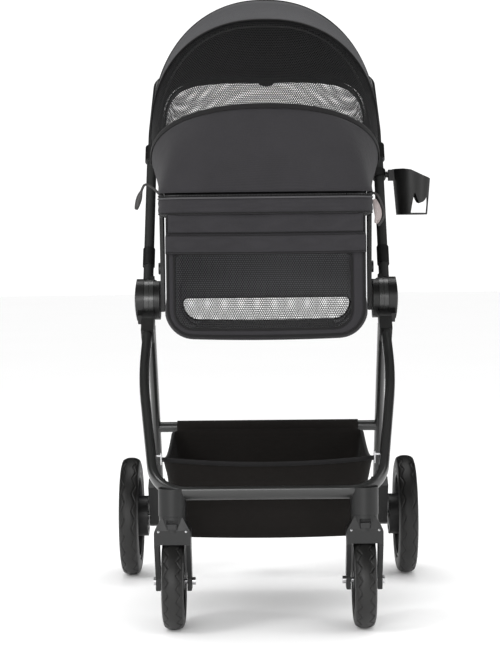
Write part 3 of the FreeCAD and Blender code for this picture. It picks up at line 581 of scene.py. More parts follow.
low_z = cover_low.z
front_edge = arch((-0.048, low_z), (cover_low.y, low_z), 0.1885, 10.0)
front_arch = arch((-0.052, 0.812), (mesh_low.y, cover_high.z), wide, 2.25)
middle_arch = arch((-0.034, 0.830), (roof_low.y, mesh_high.z), wide, 2.25, 0.10)
crest_arch = arch((-0.016, 0.832), (0.010, roof_high.z - 0.0005), wide, 2.15, 0.14)
roof_arch = arch((0.0, 0.828), (0.105, 1.078), wide - 0.003, 2.6, 0.10)
rear_arch = arch((0.012, 0.822), (0.185, hood_high.z), 0.197, 5.0)
rear_middle = arch((0.012, 0.785), (0.202, 0.800), 0.191, 6.0)
rear_edge = arch((0.026, low_z), (back_high.y, low_z), 0.1885, 10.0)


def ease(share):
    return share * share * (3 - 2 * share)


def between(first, second, share, sag=0.0):
    """A line part way from one arch to the next; sag draws it in toward the pivot."""
    out = []
    count = len(first)
    for i, (a, b) in enumerate(zip(first, second)):
        p = a.lerp(b, share)
        over = math.sin(math.pi * i / (count - 1))
        inward = (Vector((0, pivot.y, pivot.z)) - p)
        inward.x = -p.x * 0.4
        bow = 4 * share * (1 - share)
        out.append(p + inward.normalized() * (sag * bow * over))
    return out


def ripple(point, size, depth):
    return noise.noise(Vector(point) * size) * depth


def crease(points, normal_from, size, depth):
    """Moves each point a little along the line from a centre, for soft unevenness."""
    out = []
    for p in points:
        away = (p - normal_from).normalized()
        out.append(p + away * ripple(p, size, depth))
    return out


def fabric_panel(name, edges, material, rows_each=9, sag=0.004, thickness=0.0012, crease_depth=0.0012):
    """Fabric stretched over two or more arches, a little drawn in between them."""
    centre = Vector((0, pivot.y, pivot.z + 0.02))
    rows = []
    for first, second in zip(edges, edges[1:]):
        for r in range(rows_each):
            share = r / rows_each
            rows.append(between(first, second, share, sag))
    rows.append(list(edges[-1]))
    done = []
    for r, row in enumerate(rows):
        on_edge = r in (0, len(rows) - 1)
        done.append(list(row) if on_edge else crease(row, centre, 9.0, crease_depth))
    points, faces = grid(done)
    obj = new_object(name, points, faces, material)
    face_outward_from(obj, centre)
    return thicken(obj, thickness, -1.0, inner_cloth)


def face_outward_from(obj, centre):
    """Points a sheet's normals away from a point."""
    work = bmesh.new()
    work.from_mesh(obj.data)
    bmesh.ops.recalc_face_normals(work, faces=work.faces)
    votes = sum(1 if (f.calc_center_median() - centre).dot(f.normal) > 0 else -1 for f in work.faces)
    if votes < 0:
        bmesh.ops.reverse_faces(work, faces=work.faces)
    work.to_mesh(obj.data)
    work.free()


def net(name, surface, length, width_at, pitch, hole, material, thickness=0.0005):
    """Knitted mesh with real hexagonal holes over a surface given in distances (s, t)."""
    corner = pitch / math.sqrt(3)
    points, faces, known = [], [], {}

    def outer_point(s, t):
        key = (round(s / pitch * 4), round(t / pitch * 4))
        if key not in known:
            known[key] = len(points)
            points.append(surface(s, t))
        return known[key]

    rows = int(max(width_at(length * i / 40) for i in range(41)) / (corner * 1.5)) + 2
    for row in range(rows):
        t = row * corner * 1.5
        for column in range(int(length / pitch) + 1):
            s = (column + 0.5 * (row % 2)) * pitch
            if s > length - pitch / 2 or s < pitch / 2 or t > width_at(s) - corner * 0.4:
                continue
            ring = []
            for k in range(6):
                angle = math.pi / 6 + math.pi / 3 * k
                far = (s + corner * math.cos(angle), t + corner * math.sin(angle))
                near = (s + corner * hole * math.cos(angle), t + corner * hole * math.sin(angle))
                ring.append((outer_point(*far), len(points)))
                points.append(surface(*near))
            for k in range(6):
                (a, b), (c, d) = ring[k], ring[(k + 1) % 6]
                faces.append((a, c, d, b))
    obj = new_object(name, points, faces, material, smooth=False)
    return thicken(obj, thickness, 0.0)


def along_line(points):
    """A function from a share of a line's length to the point there."""
    count = len(points)

    def at(share):
        place = min(max(share, 0.0), 1.0) * (count - 1)
        index = min(int(place), count - 2)
        return points[index].lerp(points[index + 1], place - index)

    return at


def canopy_netting(name, first, second, pitch, hole, material, sag):
    """Netting between two arches, with its rows an even distance apart."""
    length = (line_length(first) + line_length(second)) / 2
    steps = 24
    layers = [along_line(between(first, second, i / steps, sag)) for i in range(steps + 1)]

    def width_at(s):
        return (layers[0](s / length) - layers[-1](s / length)).length

    def surface(s, t):
        share = min(max(t / max(width_at(s), 1e-6), 0.0), 1.0) * steps
        index = min(int(share), steps - 1)
        return layers[index](s / length).lerp(layers[index + 1](s / length), share - index)

    return net(name, surface, length, width_at, pitch, hole, material)


def strip_along(name, line, width, thickness, material, toward, lift=0.0006):
    """Flat binding sewn over a line; toward gives the direction of its width."""
    rows = []
    centre = Vector((0, pivot.y, pivot.z))
    count = len(line)
    for i, p in enumerate(line):
        along = (line[min(i + 1, count - 1)] - line[max(i - 1, 0)]).normalized()
        out = (p - centre)
        out -= along * out.dot(along)
        out.normalize()
        side = along.cross(out).normalized()
        if side.dot(toward) < 0:
            side = -side
        base = p + out * lift
        rows.append([base - side * width * 0.5 + out * -thickness * 0.5,
                     base - side * width * 0.5 + out * thickness * 0.6,
                     base - side * width * 0.25 + out * thickness,
                     base + out * thickness * 0.8,
                     base + side * width * 0.25 + out * thickness,
                     base + side * width * 0.5 + out * thickness * 0.6,
                     base + side * width * 0.5 - out * thickness * 0.5])
    points, faces = grid(rows, wrap=True)
    width_count = len(rows[0])
    faces.append(tuple(range(width_count)))
    faces.append(tuple(reversed(range(len(points) - width_count, len(points)))))
    return face_outward(new_object(name, points, faces, material))


FORWARD = Vector((0, -1, 0))

cover = fabric_panel("canopy_cover_cloth", [front_edge, front_arch], cloth, 14, -0.006)
assign(cover, "hood_front", "canopy_cover")
cover_hem = strip_along("canopy_cover_hem", front_arch, 0.011, 0.0014, binding_cloth, FORWARD)
assign(cover_hem, "hood_front")

screen = canopy_netting("canopy_screen", front_arch, middle_arch, 0.0042, 0.75, canopy_net, 0.004)
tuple(middle_arch[80])
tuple(front_arch[80])
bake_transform(screen)
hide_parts("canopy_mesh")

roof = fabric_panel("canopy_roof_cloth", [middle_arch, crest_arch, roof_arch, rear_arch], roof_cloth,
                    8, 0.003)
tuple(rear_arch[80])
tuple(middle_arch[80])
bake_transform(roof)
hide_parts("canopy_roof")
front_hem = strip_along("canopy_front_hem", middle_arch, 0.012, 0.0014, binding_cloth, FORWARD)
assign(front_hem, "hood_middle")
for number, line in enumerate((crest_arch, roof_arch)):
    seam = piping("canopy_seam_%d" % number, line, 0.0014, binding_cloth, up=Vector((0, 1, 0)))
    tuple(rear_arch[80])
    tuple(middle_arch[80])
    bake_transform(seam)

rear_screen = canopy_netting("canopy_rear_screen", rear_arch, rear_middle, 0.0042, 0.75, canopy_net, 0.0)
assign(rear_screen, "carrier", "canopy_window")
rear_hem = strip_along("canopy_rear_hem", rear_arch, 0.009, 0.0014, binding_cloth, Vector((0, 1, 0)))
assign(rear_hem, "carrier")
low_hem = strip_along("canopy_low_hem", rear_middle, 0.012, 0.0014, binding_cloth, Vector((0, 0, 1)))
assign(low_hem, "carrier")
back = fabric_panel("canopy_back_cloth", [rear_middle, rear_edge], cloth, 6, -0.002)
assign(back, "carrier", "canopy_back")
# A small half-round pull tab sewn to the middle of the rear window's top edge.
top = rear_arch[80]
tab_rows = []
for i in range(9):
    share = i / 8
    half = 0.020 * math.sqrt(max(0.0, 1 - share ** 2.2)) + 0.0005
    tab_rows.append([top + Vector((half * (2 * k / 8 - 1) + 0.004, 0.003 + 0.002 * share, -0.019 * share))
                     for k in range(9)])
points, faces = grid(tab_rows)
tab = thicken(new_object("canopy_window_tab", points, faces, binding_cloth), 0.0016)
assign(tab, "carrier")


# ---------------------------------------------------------------- cabin
shell_low, shell_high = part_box("cabin_shell")


def rounded_outline(half, low, high, low_radius, high_radius, middle=0.0, per_corner=9):
    """A closed outline in X and Z, anticlockwise from the lower right, as (x, z) pairs."""
    out = []
    corners = ((half, low, low_radius, -90), (half, high, high_radius, 0),
               (-half, high, high_radius, 90), (-half, low, low_radius, 180))
    for x, z, radius, start in corners:
        cx = x - math.copysign(radius, x)
        cz = z + radius if z == low else z - radius
        for i in range(per_corner):
            angle = math.radians(start + 90 * i / (per_corner - 1))
            out.append((middle + cx + radius * math.cos(angle), cz + radius * math.sin(angle)))
    return out


def loop_points(outline, y, count=200):
    """Equally spaced points round an outline, starting straight below the middle."""
    line = [Vector((x, y, z)) for x, z in outline]
    ring = spread(line, count, closed=True)
    start = min(range(count), key=lambda i: (round(ring[i].z, 4), abs(ring[i].x)))
    return ring[start:] + ring[:start]


def spoke_points(outline, y, count=220):
    """Points round an outline at even angles about its middle, so that two outlines match."""
    line = [Vector((x, y, z)) for x, z in outline]
    dense = spread(line, 1600, closed=True)
    middle = sum(dense, Vector()) / len(dense)
    low = min(p.z for p in dense)
    high = max(p.z for p in dense)
    left = min(p.x for p in dense)
    right = max(p.x for p in dense)
    centre = Vector(((left + right) / 2, y, (low + high) / 2))
    scale = Vector((2 / (right - left), 0, 2 / (high - low)))

    def angle_of(p):
        return math.atan2((p.z - centre.z) * scale.z, (p.x - centre.x) * scale.x)

    order = sorted(range(len(dense)), key=lambda i: angle_of(dense[i]))
    ordered = [dense[i] for i in order]
    angles = [angle_of(p) for p in ordered]
    out = []
    index = 0
    for k in range(count):
        target = -math.pi + 2 * math.pi * k / count
        while index < len(angles) - 1 and angles[index] < target:
            index += 1
        out.append(ordered[index])
    return out, middle


def belly(p):
    """The cabin's soft floor hangs a little lower in the middle."""
    low = max(0.0, 1 - (p.z - shell_low.z) / 0.05)
    across = max(0.0, 1 - (p.x / shell_high.x) ** 2)
    return p - Vector((0, 0, 0.0045 * low * across))


def framed_panel(name, outer, inner, y, out_sign, material, puff=0.004, rows=9, thickness=0.0016):
    """A fabric frame between an outer and an inner outline, slightly padded."""
    outside = spoke_points(outer, y)[0]
    inside = spoke_points(inner, y)[0]
    grid_rows = []
    for r in range(rows + 1):
        share = r / rows
        height = puff * math.sin(math.pi * share) ** 0.6 if r < rows else 0.0
        puffed = Vector((0, out_sign * height, 0))
        grid_rows.append([a.lerp(b, share) + puffed for a, b in zip(outside, inside)])
    points, faces = grid(grid_rows, wrap=True)
    obj = new_object(name, [belly(p) for p in points], faces, material)
    face_outward_from(obj, Vector((0, 0, shell_low.z + 0.1)))
    return thicken(obj, thickness, -1.0, lining_cloth)


window_low, window_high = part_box("window_mesh")
window_half = window_high.x
window_shift = -0.005
front_window = (window_half + 0.001, window_low.z, window_high.z, 0.030, 0.010, window_shift)
rear_half = 0.165
rear_window = (rear_half, window_low.z, 0.5595, 0.033, 0.010)
edge_inset = 0.0065
panel_outline = (shell_high.x - edge_inset, shell_low.z + edge_inset, shell_high.z, 0.043, 0.004)
cabin_pieces = []
for label, y, sign, window in (("front", shell_low.y, -1, front_window),
                               ("rear", shell_high.y, 1, rear_window)):
    face = framed_panel("cabin_%s_panel" % label, rounded_outline(*panel_outline), rounded_outline(*window),
                        y - sign * 0.001, sign, cloth, 0.0022)
    cabin_pieces.append(face)
    window_line = [belly(p) for p in loop_points(rounded_outline(*window), y + sign * 0.0006)]
    hem = piping("window_hem_%s" % label, window_line, 0.0022, binding_cloth, True, Vector((0, 1, 0)))
    edge_line = [belly(p) for p in loop_points(rounded_outline(*panel_outline), y + sign * 0.0002)]
    edge = piping("cabin_edge_%s" % label, edge_line, 0.0026, binding_cloth, True, Vector((0, 1, 0)))
    for piece in (hem, edge):
        assign(piece, "carrier")

# The gusset is one band down a side, under the floor and up the other side.
gusset_rows = []
depth_steps = 26
for step in range(depth_steps + 1):
    share = step / depth_steps
    y = shell_low.y + (shell_high.y - shell_low.y) * share
    from_end = min(y - shell_low.y, shell_high.y - y)
    inset = edge_inset * max(0.0, 1 - from_end / 0.016) ** 2
    half = shell_high.x - inset
    row = []
    corner = 0.048 - inset
    path = [Vector((half, y, shell_high.z))]
    for i in range(11):
        angle = math.radians(90 * i / 10)
        path.append(Vector((half - corner + corner * math.cos(angle), y,
                            shell_low.z + inset + corner - corner * math.sin(angle))))
    path += [Vector((-p.x, p.y, p.z)) for p in reversed(path)]
    for p in spread(path, 120):
        slack = math.sin(math.pi * share)
        side_pull = 0.0
        if abs(p.x) > half - 0.002:
            level = (p.z - shell_low.z) / (shell_high.z - shell_low.z)
            side_pull = -0.0105 * ease(min(from_end / 0.030, 1.0))
            side_pull *= ease(min(max((level - 0.15) / 0.35, 0.0), 1.0))
            side_pull += 0.003 * slack * math.sin(math.pi * min(max(level, 0.0), 1.0))
        p.x -= math.copysign(side_pull, p.x)
        wave = ripple(p, 14.0, 0.0016) * slack
        row.append(belly(p + Vector((-math.copysign(abs(wave), p.x), 0, abs(wave) * 0.3))))
    gusset_rows.append(row)
points, faces = grid(gusset_rows)
gusset = new_object("cabin_gusset", points, faces, cloth)
face_outward_from(gusset, Vector((0, 0, shell_low.z + 0.1)))
thicken(gusset, 0.0016, -1.0, lining_cloth)
for piece in cabin_pieces + [gusset]:
    assign(piece, "carrier")
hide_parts("cabin_shell")


def flat_net(name, half, low, high, y, pitch, hole, material, middle=0.0):
    def surface(s, t):
        bulge = 0.0025 * math.sin(math.pi * min(max(s / (2 * half), 0), 1))
        bulge *= math.sin(math.pi * min(max(t / (high - low), 0), 1))
        return belly(Vector((middle + s - half, y + bulge, low + t)))

    return net(name, surface, 2 * half, lambda s: high - low, pitch, hole, material)


margin = 0.0012
front_net = flat_net("front_window_net", window_half - margin, window_low.z + margin, window_high.z,
                     shell_low.y + 0.0012, 0.0041, 0.79, window_net, window_shift)
rear_net = flat_net("rear_window_net", rear_half - margin, window_low.z + margin, 0.5595,
                    shell_high.y - 0.0025, 0.0041, 0.80, window_net)
for piece in (front_net, rear_net):
    assign(piece, "carrier")
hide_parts("window_mesh")

# Roll-up flap over the top of the front window.
flap_low, flap_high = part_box("window_flap")
flap_rows = []
flap_steps = 30
for r in range(flap_steps + 1):
    share = r / flap_steps
    z = flap_high.z + 0.002 - (flap_high.z + 0.002 - flap_low.z) * share
    band = ease(min(max((share - 0.47) / 0.08, 0), 1))
    half = flap_high.x - 0.004 + 0.0045 * band
    line = []
    for c in range(81):
        x = half * (2 * c / 80 - 1)
        y = flap_high.y - 0.003
        if share > 0.46:
            y = y - 0.0042 * band * math.sin(math.pi * min(1, (share - 0.45) / 0.62)) ** 0.5
        dent = 0.0024 * math.exp(-((share - 0.50) / 0.03) ** 2)
        wave = ripple((x * 2.2, 0, z * 6), 9.0, 0.0011)
        hang = 0.0014 * math.sin(c / 80 * math.pi) * share
        line.append(Vector((x, y + dent + wave, z - hang)))
    flap_rows.append(line)
points, faces = grid(flap_rows)
flap = new_object("window_flap_cloth", points, faces, cloth)
face_outward_from(flap, Vector((0, 0, 0.68)))
thicken(flap, 0.0018)
# Dark binding cords: the two either side of the crease are partly seams and partly painted shade of the fold;
# the lowest is the hem seam.
seam_and_shade_lines = []
for share, radius in ((0.465, 0.0011), (0.535, 0.0008), (0.955, 0.0009)):
    row = flap_rows[round(share * flap_steps)]
    seam_and_shade_lines.append(piping("seam", [p + Vector((0, -0.0004, 0)) for p in row], radius, binding_cloth))
flap_seam_and_shade_cords = join("window_flap_seam_and_shade_cords", seam_and_shade_lines)
assign(flap_seam_and_shade_cords, "carrier")
assign(flap, "carrier", "window_flap")


# ---------------------------------------------------------------- rim band and zipper
def rim_path(inset, z, count=260):
    half = rim_high.x - inset
    front = rim_low.y + inset
    rear = rim_high.y - inset
    radius = 0.046 - inset
    out = []
    for x, y, start in ((half, front, -90), (half, rear, 0), (-half, rear, 90), (-half, front, 180)):
        cx = x - math.copysign(radius, x)
        cy = front + radius if y == front else rear - radius
        for i in range(13):
            angle = math.radians(start + 90 * i / 12)
            out.append(Vector((cx + radius * math.cos(angle), cy + radius * math.sin(angle), z)))
    return spread(out, count, closed=True)


rim_middle = (rim_low.z + rim_high.z) / 2
rim_tall = (rim_high.z - rim_low.z) / 2
band_section = []
for i in range(24):
    angle = 2 * math.pi * i / 24
    a = math.copysign(abs(math.cos(angle)) ** 0.62, math.cos(angle)) * 0.0082
    b = math.copysign(abs(math.sin(angle)) ** 0.7, math.sin(angle)) * rim_tall
    pinch = 1 - 0.17 * math.exp(-((b + 0.001) / 0.0030) ** 2)
    band_section.append((a * pinch, b))
band_path = rim_path(0.0083, rim_middle)
band = section_tube("rim_band", band_path, band_section, cloth, closed=True)
for vertex in band.data.vertices:
    away = Vector((vertex.co.x, vertex.co.y * 0.8, 0)).normalized()
    vertex.co += away * (ripple(vertex.co, 38.0, 0.0008) - 0.0002)
assign(band, "carrier", "rim_pad")
for label, inset, z in (("top", 0.0012, rim_high.z - 0.0016), ("low", 0.0020, rim_low.z + 0.0022)):
    # The top cord is a real cord whose lighter grey is a painted highlight; the lower cord in dark binding
    # cloth is a painted shadow line under the band.
    top_highlight_low_shadow_cloth = highlight_piping_cloth if label == "top" else binding_cloth
    cord = piping("rim_piping_" + label, rim_path(inset, z), 0.0015, top_highlight_low_shadow_cloth, True)
    assign(cord, "carrier")

tape_low, tape_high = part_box("zipper_tape")
tape = section_tube("zipper_cloth_tape", rim_path(0.0068, (tape_low.z + tape_high.z) / 2),
                    [(-0.0052, -0.0009), (0.0052, -0.0009), (0.0052, 0.0006), (-0.0052, 0.0006)],
                    binding_cloth, closed=True)
assign(tape, "carrier", "zipper_tape")

tooth_path = rim_path(0.0030, tape_high.z + 0.0008, 900)
tooth_points, tooth_faces = [], []
tooth_length = line_length(tooth_path)
tooth_pitch = 0.0026
tooth_at = along_line(tooth_path + [tooth_path[0]])
for number in range(int(tooth_length / tooth_pitch)):
    share = number * tooth_pitch / tooth_length
    here, ahead = tooth_at(share), tooth_at(min(share + 0.0005, 1.0))
    along = (ahead - here).normalized()
    side = along.cross(Vector((0, 0, 1)))
    shift = side * (0.0004 if number % 2 else -0.0004)
    base = len(tooth_points)
    for a, b, c in ((-1, -1, -1), (1, -1, -1), (1, 1, -1), (-1, 1, -1),
                    (-1, -1, 1), (1, -1, 1), (1, 1, 1), (-1, 1, 1)):
        tight = 0.75 if c > 0 else 1.0
        tooth_points.append(here + shift + along * (a * 0.0008 * tight) + side * (b * 0.0022 * tight)
                            + Vector((0, 0, c * 0.0010)))
    for face in ((0, 3, 2, 1), (4, 5, 6, 7), (0, 1, 5, 4), (1, 2, 6, 5), (2, 3, 7, 6), (3, 0, 4, 7)):
        tooth_faces.append(tuple(base + f for f in face))
teeth = face_outward(new_object("zipper_teeth", tooth_points, tooth_faces, zip_teeth, smooth=False))
assign(teeth, "carrier")


# ---------------------------------------------------------------- zipper pulls
def strap(name, path, width, thickness, material, body, face=Vector((0, -1, 0))):
    """A flat leather strip along a path; width is a number or a list, one for each point."""
    rows = []
    count = len(path)
    for i, p in enumerate(path):
        along = (path[min(i + 1, count - 1)] - path[max(i - 1, 0)]).normalized()
        side = along.cross(face).normalized()
        out = side.cross(along).normalized()
        half = (width[i] if isinstance(width, (list, tuple)) else width) / 2
        rows.append([p - side * half - out * thickness * 0.3, p - side * half * 0.9 + out * thickness * 0.5,
                     p + side * half * 0.9 + out * thickness * 0.5, p + side * half - out * thickness * 0.3,
                     p + side * half * 0.9 - out * thickness * 0.5,
                     p - side * half * 0.9 - out * thickness * 0.5])
    points, faces = grid(rows, wrap=True)
    faces += [tuple(range(6)), tuple(reversed(range(len(points) - 6, len(points))))]
    obj = face_outward(new_object(name, points, faces, material))
    smooth_up(obj, 1)
    assign(obj, body)
    return obj


def smooth_curve(points, count):
    """A flowing line through given points."""
    out = []
    last = len(points) - 1
    for i in range(count):
        place = i / (count - 1) * last
        k = min(int(place), last - 1)
        t = place - k
        p0, p1, p2, p3 = points[max(k - 1, 0)], points[k], points[k + 1], points[min(k + 2, last)]
        out.append(0.5 * ((2 * p1) + (p2 - p0) * t + (2 * p0 - 5 * p1 + 4 * p2 - p3) * t * t
                          + (3 * p1 - p0 - 3 * p2 + p3) * t ** 3))
    return out


for side, sign in SIDES:
    pull_low, pull_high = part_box("zipper_pull_" + side)
    y = (pull_low.y + pull_high.y) / 2
    body = "zipper_" + side
    slider = block("zipper_slider_" + side, (0.0085, 0.014, 0.0036),
                   Vector((sign * 0.1825, y, tape_high.z + 0.0042)), dark_steel, 0.0011)
    assign(slider, body)
    if sign < 0:
        line = smooth_curve([Vector((-0.1850, y, 0.7485)), Vector((-0.1985, y - 0.001, 0.7620)),
                             Vector((-0.2105, y - 0.002, 0.7660)), Vector((-0.2170, y - 0.003, 0.7540)),
                             Vector((-0.2215, y - 0.003, 0.7400)), Vector((-0.2265, y - 0.003, 0.7220))], 25)
        widths = [0.0045] * 15 + [0.0045 + 0.0065 * math.sin(math.pi * min(1.0, (i - 14) / 10.5))
                                  for i in range(15, 25)]
        pull = strap("zipper_strap_left", line, widths, 0.0022, strap_leather, body)
        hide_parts("zipper_pull_left")
    else:
        line = smooth_curve([Vector((0.1850, y, 0.7485)), Vector((0.1960, y - 0.002, 0.7440)),
                             Vector((0.2035, y - 0.003, 0.7280)), Vector((0.2080, y - 0.003, 0.7120)),
                             Vector((0.2035, y - 0.003, 0.6990)), Vector((0.1965, y - 0.003, 0.6900))], 25)
        pull = strap("zipper_strap_right", line, 0.0048, 0.0022, strap_leather, body)
        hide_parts("zipper_pull_right")
        tag = smooth_curve([Vector((0.1905, y + 0.001, 0.7370)), Vector((0.1950, y + 0.001, 0.7230)),
                            Vector((0.1975, y + 0.001, 0.7080)), Vector((0.1935, y + 0.001, 0.6940))], 17)
        widths = [0.006 + 0.008 * math.sin(math.pi * i / 16) for i in range(17)]
        strap("zipper_tag_right", tag, widths, 0.0016, tag_leather, body)

# ---------------------------------------------------------------- cushion
pad_low, pad_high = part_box("cushion")


def quilted_cushion():
    """A thin floor pad: remeshed, blown up a little by cloth simulation, then channelled."""
    margin = 0.006
    size = (pad_high - pad_low) - Vector((2 * margin, 2 * margin, 0.006))
    centre = (pad_low + pad_high) / 2
    piece = block("floor_cushion", size, centre, cushion_cloth, 0.0045)
    remesh = piece.modifiers.new("remesh", "REMESH")
    remesh.mode = "VOXEL"
    remesh.voxel_size = 0.005
    apply_modifiers(piece)
    rest = [v.co.copy() for v in piece.data.vertices]
    swell = piece.modifiers.new("cloth", "CLOTH")
    swell.settings.use_pressure = True
    swell.settings.uniform_pressure_force = 4.0
    swell.settings.effector_weights.gravity = 0.0
    swell.settings.quality = 5
    scene = bpy.context.scene
    for number in range(1, 13):
        scene.frame_set(number)
    apply_modifiers(piece)
    scene.frame_set(1)
    cap = 0.0035
    for vertex, start in zip(piece.data.vertices, rest):
        move = vertex.co - start
        if move.length > cap:
            vertex.co = start + move.normalized() * cap
        x, y = vertex.co.x - centre.x, vertex.co.y - centre.y
        channel = min(abs(x) % 0.074, 0.074 - abs(x) % 0.074)
        cross = min(abs(y) % 0.105, 0.105 - abs(y) % 0.105)
        dip = 0.0022 * max(math.exp(-(channel / 0.006) ** 2), math.exp(-(cross / 0.006) ** 2))
        if vertex.co.z > centre.z:
            vertex.co.z -= dip
        vertex.co.z = min(max(vertex.co.z, pad_low.z), pad_high.z + 0.001)
    smooth_up(piece, 1)
    for polygon in piece.data.polygons:
        polygon.use_smooth = True
    return piece


def apply_modifiers(obj):
    graph = bpy.context.evaluated_depsgraph_get()
    mesh = bpy.data.meshes.new_from_object(obj.evaluated_get(graph))
    obj.modifiers.clear()
    obj.data = mesh


cushion = quilted_cushion()
assign(cushion, "carrier", "cushion")

# ---------------------------------------------------------------- basket
tube_low, tube_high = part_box("rear_cross_tube")
tube_centre = (tube_low + tube_high) / 2
basket_half = 0.183


def basket_shell():
    """Sagging cloth tub, from the hem down the walls and across the floor."""
    around = 240
    levels = 22
    rows = []
    for level in range(levels + 1):
        down = level / levels
        front = Vector((0, -0.250 + 0.062 * down, 0.292 - 0.146 * down))
        rear = Vector((0, tube_centre.y - 0.016 - 0.014 * down, tube_centre.z - 0.004 - 0.160 * down))
        half = basket_half - 0.006 * down
        radius = 0.024 + 0.012 * down
        ring = []
        corners = ((half, front.y, -90), (half, rear.y, 0), (-half, rear.y, 90), (-half, front.y, 180))
        for x, y, start in corners:
            cx = x - math.copysign(radius, x)
            cy = front.y + radius if y == front.y else rear.y - radius
            for i in range(9):
                angle = math.radians(start + 90 * i / 8)
                px, py = cx + radius * math.cos(angle), cy + radius * math.sin(angle)
                share = (py - front.y) / (rear.y - front.y)
                ring.append(Vector((px, py, front.z + (rear.z - front.z) * share)))
        line = spread(ring, around, closed=True)
        row = []
        for p in line:
            share = (p.y - front.y) / (rear.y - front.y)
            across = 1 - (p.x / half) ** 2
            hem_sag = 0.010 * across * max(0.0, 1 - share * 6) * (1 - down) ** 0.7
            side_sag = 0.020 * math.sin(math.pi * share) * (1 - across) ** 3 * (1 - down)
            pull = 0.007 * math.sin(math.pi * down)
            floor_sag = 0.004 * across * down * down
            move = Vector((-math.copysign(pull * (1 - across) ** 4, p.x), 0, -hem_sag - side_sag - floor_sag))
            fold = ripple((p.x * 1.3, p.y * 1.3, down * 0.3), 22.0, 0.0034)
            fold *= math.sin(math.pi * min(1, down * 1.15))
            facing = Vector((p.x / half, (share - 0.5) * 2, 0)).normalized()
            row.append(p + move - facing * abs(fold))
        rows.append(row)
    floor_rows = 10
    last = rows[-1]
    middle = sum(last, Vector()) / len(last)
    for k in range(1, floor_rows + 1):
        share = k / floor_rows * 0.985
        row = []
        for p in last:
            q = p.lerp(middle, share)
            q.z -= 0.0022 * math.sin(math.pi / 2 * share) - ripple(q, 16.0, 0.0012)
            row.append(q)
        rows.append(row)
    return rows


basket_rows = basket_shell()
points, faces = grid(basket_rows, wrap=True)
width_count = len(basket_rows[0])
faces.append(tuple(range(len(points) - width_count, len(points))))
basket = new_object("basket_cloth_tub", points, faces, basket_cloth)
face_outward_from(basket, Vector((0, -0.05, 0.24)))
thicken(basket, 0.0018)
# The hem binds the front and the sides; the back wall ends in the cuff.
ring = basket_rows[0]
hemmed = [p.y < tube_centre.y - 0.030 for p in ring]
first = next(i for i in range(len(ring)) if hemmed[i] and not hemmed[i - 1])
hem_line = [ring[(first + i) % len(ring)] for i in range(sum(hemmed))]
hem_rows = []
for i, p in enumerate(hem_line):
    along = (hem_line[min(i + 1, len(hem_line) - 1)] - hem_line[max(i - 1, 0)]).normalized()
    out = along.cross(Vector((0, 0, 1))).normalized()
    hem_rows.append([p + out * 0.0018 + Vector((0, 0, -0.0060)), p + out * 0.0026 + Vector((0, 0, -0.001)),
                     p + out * 0.0010 + Vector((0, 0, 0.0018)), p - out * 0.0022 + Vector((0, 0, 0.0012)),
                     p - out * 0.0028 + Vector((0, 0, -0.004)), p - out * 0.0012 + Vector((0, 0, -0.0062))])
points, faces = grid(hem_rows, wrap=True)
faces += [tuple(range(6)), tuple(reversed(range(len(points) - 6, len(points))))]
basket_hem = face_outward(new_object("basket_hem", points, faces, binding_cloth))
cuff = section_tube("basket_cuff", [Vector((x, tube_centre.y, tube_centre.z)) for x in
                                    [(-0.176 + 0.352 * i / 60) for i in range(61)]],
                    [(0.0128 * math.cos(2 * math.pi * i / 28),
                      0.0128 * math.sin(2 * math.pi * i / 28) - 0.0004) for i in range(28)], basket_cloth)
for piece in (basket, basket_hem):
    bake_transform(piece)
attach(cuff, "rear_frame")
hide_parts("basket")

# ---------------------------------------------------------------- handle grip
def open_for_button(sleeve, low, high, gap=0.0006, lip=0.0025):
    """Cut the sleeve open round the button's box and turn the edge inward."""
    mesh = bmesh.new()
    mesh.from_mesh(sleeve.data)
    to_sleeve = sleeve.matrix_world.inverted()
    low, high = to_sleeve @ (low - Vector((gap, gap, 0))), to_sleeve @ (high + Vector((gap, gap, 0)))
    for point, normal in ((low, (1, 0, 0)), (high, (1, 0, 0)), (low, (0, 1, 0)), (high, (0, 1, 0))):
        bmesh.ops.bisect_plane(mesh, geom=mesh.verts[:] + mesh.edges[:] + mesh.faces[:], dist=1e-6,
                               plane_co=point, plane_no=normal)
    middle = (low + high) / 2
    axis_height = sum(v.co.z for v in mesh.verts) / len(mesh.verts)
    side = 1 if middle.z > axis_height else -1
    inside = [f for f in mesh.faces if low.x < f.calc_center_median().x < high.x
              and low.y < f.calc_center_median().y < high.y
              and side * (f.calc_center_median().z - axis_height) > 0]
    rim_edges = {e for f in inside for e in f.edges if any(other not in inside for other in e.link_faces)}
    bmesh.ops.delete(mesh, geom=inside, context="FACES")
    made = bmesh.ops.extrude_edge_only(mesh, edges=[e for e in mesh.edges if e in rim_edges])
    for item in made["geom"]:
        if isinstance(item, bmesh.types.BMVert):
            item.co.z -= side * lip
    mesh.to_mesh(sleeve.data)
    mesh.free()


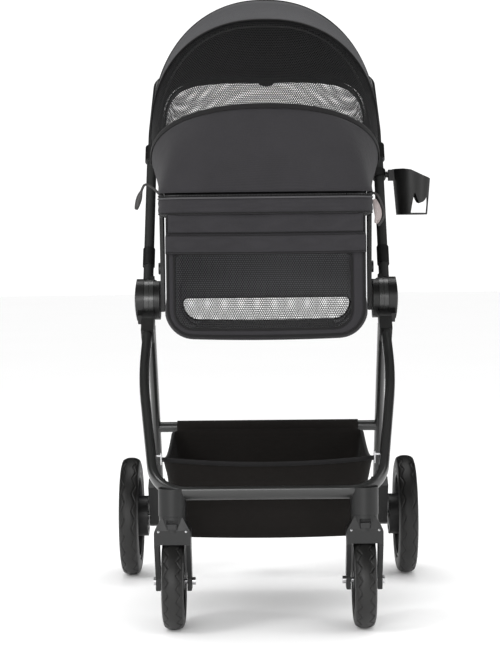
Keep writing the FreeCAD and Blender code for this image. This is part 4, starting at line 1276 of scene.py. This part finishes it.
grip_low, grip_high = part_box("handle_grip")
grip_centre = (grip_low + grip_high) / 2
grip_outer = (grip_high.z - grip_low.z) / 2
grip_half = (grip_high.x - grip_low.x) / 2
outline = [(-grip_half, grip_outer - 0.006), (-grip_half, grip_outer - 0.002)]
for i in range(41):
    x = -grip_half + 0.002 + (2 * grip_half - 0.004) * i / 40
    outline.append((x, grip_outer - 0.0004 - 0.0006 * math.cos(math.pi * x / grip_half)))
outline += [(grip_half, grip_outer - 0.002), (grip_half, grip_outer - 0.006)]
grip = turned("grip_leather_sleeve", outline, grip_centre, (1, 0, 0), grip_leather, 64)
open_for_button(grip, *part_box("height_button"))
assign(grip, "handle_upper", "handle_grip")
stitches = []
for number in range(58):
    x = -grip_half + 0.006 + number * (2 * grip_half - 0.012) / 57
    stitches.append(block("stitch", (0.0034, 0.0009, 0.0007),
                          grip_centre + Vector((x, -0.0018, -grip_outer + 0.0004)), stitch_thread, 0.0002))
seam = join("grip_stitches", stitches)
assign(seam, "handle_upper")


# ---------------------------------------------------------------- stage, light and camera
bpy.ops.mesh.primitive_circle_add(vertices=96, radius=30, fill_type="NGON", location=(0, 0, 0))
floor = bpy.context.object
floor.name = "floor"
floor.data.materials.append(pale_floor)

world = bpy.data.worlds.new("studio")
world.use_nodes = True
world.node_tree.nodes["Background"].inputs["Color"].default_value = (1.0, 1.0, 1.0, 1.0)
world.node_tree.nodes["Background"].inputs["Strength"].default_value = 1.12
bpy.context.scene.world = world
world.cycles_visibility.glossy = False
bpy.context.scene.view_settings.view_transform = "Standard"


def softbox(name, place, aim, size, power):
    lamp = bpy.data.lights.new(name, "AREA")
    lamp.shape = "RECTANGLE"
    lamp.size, lamp.size_y = size
    lamp.energy = power
    obj = bpy.data.objects.new(name, lamp)
    obj.location = place
    obj.rotation_euler = (Vector(aim) - Vector(place)).to_track_quat("-Z", "Y").to_euler()
    collection.objects.link(obj)
    return obj


softbox("front_light", (-0.6, -4.2, 1.25), (0, 0, 0.5), (1.8, 1.0), 62)
softbox("key_light", (-2.4, -2.0, 2.2), (0, 0, 0.6), (0.9, 1.5), 34)
softbox("fill_light", (2.6, -1.0, 1.3), (0, 0, 0.5), (0.5, 1.8), 14)
softbox("top_light", (0.0, 0.9, 3.0), (0, 0, 0.7), (1.6, 1.2), 22)

lens = bpy.data.cameras.new("photo_camera")
lens.sensor_width = 36.0
focal_pixels = 1800.0
frame_height = 669.0
lens.lens = 36.0 * focal_pixels / frame_height
camera = bpy.data.objects.new("photo_camera", lens)
collection.objects.link(camera)
tilt, pan, roll = math.radians(2.40), math.radians(0.53), math.radians(-0.6)
turn = Matrix.Rotation(pan, 3, "Z") @ Matrix.Rotation(math.pi / 2 - tilt, 3, "X")
turn = turn @ Matrix.Rotation(roll, 3, "Z")
camera.matrix_world = Matrix.Translation((0.0, -3.347, 0.634)) @ turn.to_4x4()
bpy.context.scene.camera = camera
